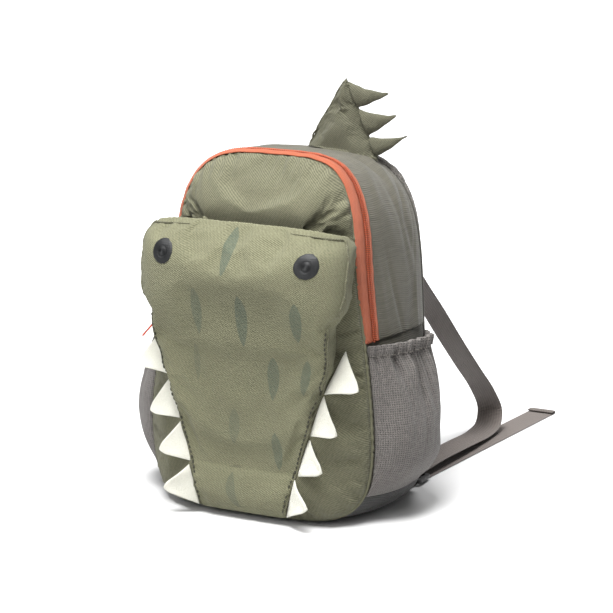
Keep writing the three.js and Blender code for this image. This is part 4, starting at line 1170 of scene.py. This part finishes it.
def makeBackPanel():
    s = backPanel
    x, z = squareGrid(s["columns"], s["rows"], 1)
    fall = form["crownFall"] * smooth(2 * z / form["crown"] - 1)
    inside = 1 - np.minimum(seamShare(x, z), 1)
    fullness = 1 - (1 - inside) ** 4
    y = form["backReach"] + s["edge"] + (s["puff"] + s["stuffing"]) * fullness
    grid = point(x, y, z - fall)
    held = np.zeros(grid.shape[:2])
    held[0], held[-1], held[:, 0], held[:, -1] = 1, 1, 1, 1
    low, high = s["channelSpan"]
    for across in s["channels"]:
        held[(np.abs(x - across) < s["heldWidth"]) & (z > low) & (z < high)] = 0.9
    grid = refined(settleCloth(grid, held, s["settle"]), s["finer"])
    x, z = grid[..., 0], grid[..., 2]
    ends = smooth((z - low) / s["channelEnd"]) * smooth((high - z) / s["channelEnd"])
    for across in s["channels"]:
        grid[..., 1] -= s["channelDepth"] * ends * np.exp(-((x - across) / s["channelWidth"]) ** 2)
    made = clothWall("backPanelMesh", grid, s["wall"], (0, 1, 0), finish["back_mesh"])
    show(made, "back_mesh", replaced=["back_panel"], fill=0.5)
    lines = []
    normals = facing(grid, (0, 1, 0))
    for across in s["channels"]:
        column = [np.argmin(np.abs(row - across)) for row in x]
        line = np.array([grid[r, c] + normals[r, c] * 0.3 for r, c in enumerate(column)])
        keep = (line[:, 2] > low + 4) & (line[:, 2] < high - 4)
        lines.append(smoothPath(line[keep][::4], 160))
    show(stitches("backStitches", lines, greyThread, *s["stitch"]), "back_mesh")


makeBackPanel()
print("back panel made")


# Piping and binding along the seams
def ringTube(name, line, radius, material, slot):  # a cord round a closed loop
    loops = line[:, None] + radius * cordRings(
        unit(np.roll(line, -1, axis=0) - np.roll(line, 1, axis=0)), (0, 1, 0))
    r, c = cells(len(line), cord["around"])
    faces = quadFaces(r, c, (r + 1) % len(line), cord["around"])
    show(meshObject(name, loops.reshape(-1, 3), faces.tolist(), None, material), slot)


edging = {"radius": 1.5, "lowest": 2.2, "frontInset": 1.9, "frontLift": -0.5, "backInset": 0.4,
          "backLift": 0.6, "gatherFrom": 30, "gatherSpan": 40, "gather": 0.35, "gatherPitch": 7,
          "step": 1.08}


def makeFrontSeam():
    # the sewn edge of the front panel, pulled into small puckers
    s = edging
    angles = anglesAlong(-math.pi / 2, 1.5 * math.pi, 961)[:-1]
    line = drawnIn(bandPoint(angles, s["frontInset"] / bandDepth(angles), s["frontLift"]))
    line[:, 2] = np.maximum(line[:, 2], s["lowest"])
    gathered = smooth((line[:, 2] - s["gatherFrom"]) / s["gatherSpan"])
    along = np.arange(len(line)) * s["step"]
    radius = s["radius"] + gathered * s["gather"] * ripple(131, s["gatherPitch"], along)
    ringTube("frontSeam", line, radius[:, None, None], finish["twill"], "twill")


makeFrontSeam()


def makeBackBinding():
    s = edging
    angles = anglesAlong(-math.pi / 2, 1.5 * math.pi, 481)[:-1]
    line = bandPoint(angles, 1 - s["backInset"] / bandDepth(angles), s["backLift"])
    line[:, 2] = np.maximum(line[:, 2], s["lowest"])
    ringTube("backBinding", line, s["radius"], bindingCloth, "gusset_nylon")


makeBackBinding()

# Stuffed tail and its spikes on the crown
tail = {"left": -3, "right": 62, "apex": 31, "height": 60, "thickness": 21, "seatGap": 1.1, "y": 53,
        "lean": 3, "around": 72, "rows": 64,
        "settle": {"slack": 0.03, "pressure": 1.2, "most": 1.6, "stiffness": 14},
        "seamRun": 26, "pucker": 0.35, "puckerReach": 6, "puckerPitch": 12, "fold": 0.8, "foldPitch": 24,
        "gather": 0.7, "gatherReach": 14, "gatherPitch": 10, "seamCord": 0.75, "spikeFold": 0.3,
        "spikeFoldPitch": 11,
        "spikeThickness": 11, "tipShare": 0.07, "taper": 1.15, "sag": 1.5, "gap": 1.1,
        "spikes": [{"from": 0.95, "to": 0.65, "out": 0.51, "rise": 0.04},
                   {"from": 0.63, "to": 0.32, "out": 0.47, "rise": 0.12},
                   {"from": 0.3, "to": 0.08, "out": 0.5, "rise": 0.18}]}


def crownSeat(x, y):
    x, y = np.broadcast_arrays(np.asarray(x, float), np.asarray(y, float))
    half = form["halfWidth"] * narrowing(form["crown"], 0.9)
    across = x.copy()
    for _ in range(4):
        share = np.minimum(1, (np.abs(across) / half) ** 2)
        angle = math.pi / 2 - np.sign(across) * np.arcsin(share)
        seat = bandPoint(angle, 1 - (form["backReach"] - y) / bandDepth(angle), band["gussetLift"])
        across = across + x - seat[..., 0]
    return seat


def makeTail():
    s = tail
    left, right = crownSeat(s["left"], s["y"]), crownSeat(s["right"], s["y"])
    apex = np.array([s["apex"], s["y"] + s["lean"], crownSeat(0, s["y"])[2] + s["height"]])
    lift = np.array([0, 0, s["seatGap"]])
    footLeft = np.array([left[0], s["y"], left[2]]) + lift
    footRight = np.array([right[0], s["y"], right[2]]) + lift
    up = np.r_[0, np.linspace(0.02, 0.985, s["rows"]) ** 0.95][:, None]
    turns = 2 * math.pi * np.arange(s["around"]) / s["around"]
    share = 0.5 + 0.5 * np.cos(turns)[None, :]
    lower = footLeft + (apex - footLeft) * up[..., None]
    upper = footRight + (apex - footRight) * up[..., None]
    grid = lower + (upper - lower) * share[..., None]
    thick = s["thickness"] * (1 - up) ** 0.55 * mix(1, 0.85, up)
    grid[..., 1] += thick / 2 * powered(np.sin(turns), 1.2)[None, :]
    grid[0, :, 2] = crownSeat(grid[0, :, 0], grid[0, :, 1])[:, 2] + s["seatGap"]
    held = np.zeros(grid.shape[:2])
    held[0], held[-1] = 1, 1
    held[:, 0] = held[:, s["around"] // 2] = 0.9
    settled = settleCloth(grid, held, s["settle"], wrap=True)
    closed = np.concatenate([settled[:, -2:], settled, settled[:, :3]], axis=1)
    fine = refined(closed, 2)[:, 4:4 + 2 * s["around"]]
    turns = 2 * math.pi * np.arange(fine.shape[1]) / fine.shape[1]
    seam = np.minimum(np.abs(np.sin(turns)), 1) * s["seamRun"]
    height = fine[..., 2]
    apart = 40 * np.sign(np.cos(turns))[None, :]
    pucker = s["pucker"] * np.exp(-seam / s["puckerReach"])[None, :]
    pucker = pucker * ripple(101, s["puckerPitch"], height, apart)
    fold = s["fold"] * ripple(102, s["foldPitch"], fine[..., 0], height)
    fold = fold * (0.4 + 0.6 * np.sin(turns)[None, :] ** 2)
    foot = s["gather"] * np.exp(-(height - height.min()) / s["gatherReach"])
    foot = foot * ripple(103, s["gatherPitch"], fine[..., 0], 0.2 * height)
    normals = facing(fine, fine - fine.mean(axis=1, keepdims=True), wrap=True)
    rise = (pucker + fold + foot) * smooth((height - height.min()) / 5) * smooth((height.max() - height) / 6)
    fine = fine + normals * rise[..., None]
    made = tube("tailTwill", fine, finish["tail_twill"], flatUv(np.concatenate([fine, fine[:, :1]], axis=1)))
    show(made, "tail_twill", replaced=["tail_fin"], fill=0.8)
    edge = [fine[3:-3, 0] + point(0.25, 0, 0.1), fine[3:-3, fine.shape[1] // 2] + point(-0.25, 0, 0.1)]
    for word, line in zip(("Right", "Left"), edge):
        seamLine = smoothPath(line[::5], 90)
        roundTube("tailSeam" + word, seamLine, s["seamCord"], finish["tail_twill"], "tail_twill")
    return footRight - lift, apex


def makeSpike(number, foot, apex):
    s, row = tail, tail["spikes"][number]
    beside = np.array([s["gap"], 0, 0])
    high = foot + (apex - foot) * row["from"] + beside
    low = foot + (apex - foot) * row["to"] + beside
    middle = (high + low) / 2
    tip = middle + np.array([row["out"] * s["height"], 2, row["rise"] * s["height"]])
    along = np.r_[np.linspace(0, 0.9, 34), np.linspace(0.92, 1, 8)][:, None]
    turns = 2 * math.pi * np.arange(40) / 40
    shrink = mix((1 - along) ** s["taper"], 1, s["tipShare"])
    centre = middle + (tip - middle) * along - np.array([0, 0, 1]) * s["sag"] * np.sin(math.pi * along)
    thick = s["spikeThickness"] * shrink * mix(0.8, 1, np.sin(math.pi * along))
    tipRound = np.sqrt(np.clip(1 - np.clip((along - 0.93) / 0.07, 0, 0.97) ** 2, 0, 1))
    loops = centre[:, None] + (np.cos(turns)[None] * shrink * tipRound)[..., None] * (high - middle)
    loops[..., 1] += thick / 2 * tipRound * powered(np.sin(turns), 1.2)[None]
    folds = s["spikeFold"] * ripple(110 + number, s["spikeFoldPitch"], loops[..., 0], loops[..., 2])
    normals = facing(loops, loops - loops.mean(axis=1, keepdims=True), wrap=True)
    loops = loops + normals * (folds * smooth(along * 12) * smooth((1 - along) * 6))[..., None]
    closed = np.concatenate([loops, loops[:, :1]], axis=1)
    made = tube(f"tailSpike{number + 1}", loops, finish["tail_twill"], flatUv(closed))
    show(made, "tail_twill", replaced=[f"tail_spike_{number + 1}"], fill=0.8)


tailFoot, tailApex = makeTail()
for number in range(3):
    makeSpike(number, tailFoot, tailApex)
print("tail made")

# Shoulder straps, their webbing, and the adjusters at the foot
strap = {
    "padWidth": 42, "padEndWidth": 29, "padThickness": 7, "taperStart": 0.55, "rootWaist": 6, "endThin": 0.45,
    "padRoute": [(40, 67.2, 270), (41, 80, 270.5), (42, 93, 265), (45, 107, 243), (49, 121, 209),
                 (53, 136, 175)],
    "webbing": 25, "thickness": 1.4, "lift": 0.75, "barY": 76.5, "middleBarY": 86.1, "height": 4.2,
    "across": 78,
    "route": [(53.1, 136.3, 174.3), (55, 150, 160), (58, 180, 131.6), (66, 205, 98.7), (72, 234, 66.6),
              (77, 256, 42), (81, 267, 21), (83.5, 258, 9), (84.5, 236, 5.4), (84, 190, 7.4), (81, 135, 9)],
    "endAcross": 105, "endY": 346, "hemStart": 337, "turnLead": 8, "floorLead": 15, "hem": 3.6,
    "tabTurn": 3.3, "tabStartY": 65.3, "endRound": 0.16, "endFrom": 0.93, "endSpan": 0.07,
    "padWave": 0.04, "padWavePitch": 18, "cordInset": 0.5, "cord": 1.7, "rowInset": 4.5, "rowDepth": 0.93,
    "padStitch": (3.6, 2.6, 0.7), "hemStitch": (2.6, 1.9, 0.6), "hemRowHalf": 10.5,
}


def strip(name, route, width, thickness, material, slot, corner, around, **more):
    # a flat or padded strip; its width runs across the bag, its thickness in the plane of its route
    tangents = np.gradient(route, axis=0)
    normals = unit(np.stack([0 * route[:, 0], tangents[:, 2], -tangents[:, 1]], axis=1))
    turns = 2 * math.pi * np.arange(around) / around
    # an even spread of points over a rounded rectangle
    across = powered(np.cos(turns), 0.28)
    out = powered(np.sin(turns), corner)
    width = np.broadcast_to(width, len(route))[:, None]
    thickness = np.broadcast_to(thickness, len(route))[:, None]
    loops = route[:, None] + (across[None] * width / 2)[..., None] * np.array([1.0, 0, 0])
    loops = loops + (out[None] * thickness / 2)[..., None] * normals[:, None]
    lengths = distances(route[:, None], 0)
    closed = np.r_[across, across[:1]]
    uv = np.stack(np.broadcast_arrays(closed[None] * width / 2, lengths), axis=-1)
    made = tube(name, loops, material, uv)
    show(made, slot, **more)
    return normals


def makePad(word, side):
    s = strap
    route = smoothPath([(side * x, y, z) for x, y, z in s["padRoute"]], 150)
    share = np.linspace(0, 1, len(route))
    width = mix(s["padWidth"], s["padEndWidth"], smooth((share - s["taperStart"]) / (1 - s["taperStart"])))
    width = width - s["rootWaist"] * (1 - smooth(5 * share))
    rounding = 1 - s["endRound"] * np.clip((share - s["endFrom"]) / s["endSpan"], 0, 1) ** 2
    width = width * rounding
    thick = s["padThickness"] * mix(s["endThin"], 1, smooth(5 * np.minimum(share, 1 - share)))
    thick = thick * (1 + s["padWave"] * ripple(121, s["padWavePitch"], 140 * share))
    normals = strip("shoulderPad" + word, route, width, thick, finish["back_mesh"], "back_mesh",
                    corner=0.5, around=56, replaced=[f"shoulder_strap_{word.lower()}"], fill=0.7)
    for edge, sign in (("Inner", -1), ("Outer", 1)):
        line = route + point(sign * (width / 2 - s["cordInset"]), 0, 0)
        roundTube(f"padBinding{word}{edge}", line, s["cord"], bindingCloth, "back_mesh")
    lines = []
    for face in (-1, 1):
        for sign in (-1, 1):
            line = route + point(sign * (width / 2 - s["rowInset"]), 0, 0)
            line = line + normals * (face * thick / 2 * s["rowDepth"])[:, None]
            lines.append(line[6:-6])
    show(stitches("padStitches" + word, lines, greyThread, *s["padStitch"]), "back_mesh")


def webbingRoute(side):
    s = strap
    radius = s["height"] - s["lift"]
    turnEnd = (s["across"], s["middleBarY"] + s["turnLead"], s["height"] + radius)
    loop = smoothPath([*s["route"], turnEnd], 330)
    turn = math.pi * np.linspace(0, 1, 20)
    bend = point(s["across"], s["middleBarY"] - radius * np.sin(turn), s["height"] + radius * np.cos(turn))
    y = np.linspace(s["middleBarY"] + s["floorLead"], s["endY"] - 1.9, 200)
    away = (y - s["middleBarY"]) / (s["endY"] - s["middleBarY"])
    flat = point(mix(s["across"], s["endAcross"], away), y, s["lift"])
    fold = (s["hem"] - s["thickness"]) / 2
    turn = math.pi * np.linspace(0, 1, 12)[1:]
    roll = point(s["endAcross"], y[-1] + fold * np.sin(turn), s["lift"] + fold * (1 - np.cos(turn)))
    back = point(s["endAcross"] - 0.6, np.linspace(y[-1] - 1, s["hemStart"], 8), s["lift"] + 2 * fold)
    route = np.vstack([loop, bend[1:], flat, roll, back])
    route[:, 0] *= side
    return route


def makeWebbing(word, side):
    s = strap
    route = webbingRoute(side)
    strip("webbing" + word, route, s["webbing"], s["thickness"], finish["webbing"], "webbing",
          corner=0.9, around=36, replaced=[f"webbing_{word.lower()}"])
    turn = math.pi * np.linspace(0, 1, 24)
    bend = point(s["across"], s["barY"] + s["tabTurn"] * np.sin(turn),
                 s["height"] + s["tabTurn"] * np.cos(turn))
    top = point(s["across"], np.linspace(s["tabStartY"], s["barY"] - 0.6, 10), s["height"] + s["tabTurn"])
    low = point(s["across"], np.linspace(s["barY"] - 0.6, s["tabStartY"], 10), s["height"] - s["tabTurn"])
    tab = np.vstack([top, bend, low]) * (side, 1, 1)
    strip("tab" + word, tab, s["webbing"], s["thickness"], finish["webbing"], "webbing",
          corner=0.9, around=36, replaced=[f"adjuster_tab_{word.lower()}"])
    half = s["hemRowHalf"]
    hem = point(np.linspace(-half, half, 40) + side * s["endAcross"], s["hemStart"] + 2.2, s["hem"] + 0.2)
    show(stitches("hemRow" + word, [hem], greyThread, *s["hemStitch"]), "webbing")


for word, side in bothSides:
    makePad(word, side)
    makeWebbing(word, side)
print("straps made")

# Hard parts keep the model's own shapes, with softened edges
hardParts = {"zipper_slider": ("zipper_metal", 0.5), "zipper_pull": ("zipper_metal", 0.35),
             "strap_adjuster_right": ("buckle_plastic", 0.8), "strap_adjuster_left": ("buckle_plastic", 0.8)}
for name, (slot, edge) in hardParts.items():
    made = nodes[name]
    made.data.materials.clear()
    made.data.materials.append(finish[slot])
    bevel = made.modifiers.new("Edges", "BEVEL")
    bevel.width = edge * metre
    bevel.segments = 3
    bevel.limit_method = "ANGLE"
    bevel.angle_limit = math.radians(40)
    bevel.harden_normals = True
print("hard parts finished")


# Floor, light and camera
studio = {
    "floorHalf": 6, "floorGrey": 0.62, "paleFrom": 0.2, "paleTo": 1.2, "surround": 0.24, "aim": 0.15,
    "lights": [
        {"name": "keyLight", "azimuth": 0, "elevation": 72, "distance": 1.9, "size": 1.1, "power": 98},
        {"name": "frontLight", "azimuth": -8, "elevation": 28, "distance": 2.6, "size": 1.2, "power": 22},
        {"name": "backLight", "azimuth": 165, "elevation": 60, "distance": 2.3, "size": 1.2, "power": 26},
    ],
}


def makeFloor():
    mesh = bpy.data.meshes.new("floor")
    half = studio["floorHalf"]
    corners = [(-half, -half, 0), (half, -half, 0), (half, half, 0), (-half, half, 0)]
    mesh.from_pydata(corners, [], [(0, 1, 2, 3)])
    material, tree, shader = newMaterial("floor", 0.9)
    shader.inputs["Base Color"].default_value = (*[studio["floorGrey"]] * 3, 1)
    shader.inputs["Emission Color"].default_value = (1, 1, 1, 1)
    place = addNode(tree, "ShaderNodeTexCoord").outputs["Object"]
    away = addNode(tree, "ShaderNodeVectorMath", {0: place}, operation="LENGTH")
    glow = rangeOf(tree, away.outputs["Value"], studio["paleFrom"], studio["paleTo"])
    seen = addNode(tree, "ShaderNodeLightPath").outputs["Is Camera Ray"]
    tree.links.new(sums(tree, "MULTIPLY", glow, seen).outputs[0], shader.inputs["Emission Strength"])
    mesh.materials.append(material)
    floor = addObject("floor", mesh)


def placed(name, data, azimuth, elevation, distance):  # a light or camera that looks at the bag's middle
    a, e = math.radians(azimuth), math.radians(elevation)
    away = Vector((math.sin(a) * math.cos(e), -math.cos(a) * math.cos(e), math.sin(e)))
    made = addObject(name, data)
    made.location = away * distance + Vector((0, 0, studio["aim"]))
    made.rotation_euler = away.to_track_quat("Z", "Y").to_euler()
    return made


def makeLight(name, azimuth, elevation, distance, size, power):
    light = bpy.data.lights.new(name, "AREA")
    light.shape = "DISK"
    light.size = size
    light.energy = power
    placed(name, light, azimuth, elevation, distance)


makeFloor()
for light in studio["lights"]:
    makeLight(**light)


def makeWorld():  # soft light from all round, and white where nothing stands
    world = bpy.data.worlds.new("studio")
    world.use_nodes = True
    tree = world.node_tree
    background = tree.nodes["Background"]
    background.inputs["Color"].default_value = (1, 1, 1, 1)
    seen = addNode(tree, "ShaderNodeLightPath").outputs["Is Camera Ray"]
    strength = rangeOf(tree, seen, 0, 1, studio["surround"], 1)
    tree.links.new(strength.outputs[0], background.inputs["Strength"])
    bpy.context.scene.world = world


makeWorld()

photoView = {"azimuth": 27, "elevation": 13.5, "distance": 1.9, "lens": 133.9, "shift": (0.0395, 0.0277)}


def makeCamera():
    s = photoView
    camera = bpy.data.cameras.new("photoCamera")
    camera.sensor_width = 36
    camera.lens = s["lens"]
    camera.shift_x, camera.shift_y = s["shift"]
    camera.clip_start = 0.05
    bpy.context.scene.camera = placed("photoCamera", camera, s["azimuth"], s["elevation"], s["distance"])


makeCamera()
bpy.context.scene.view_settings.view_transform = "Standard"
bpy.context.scene.view_settings.look = "None"
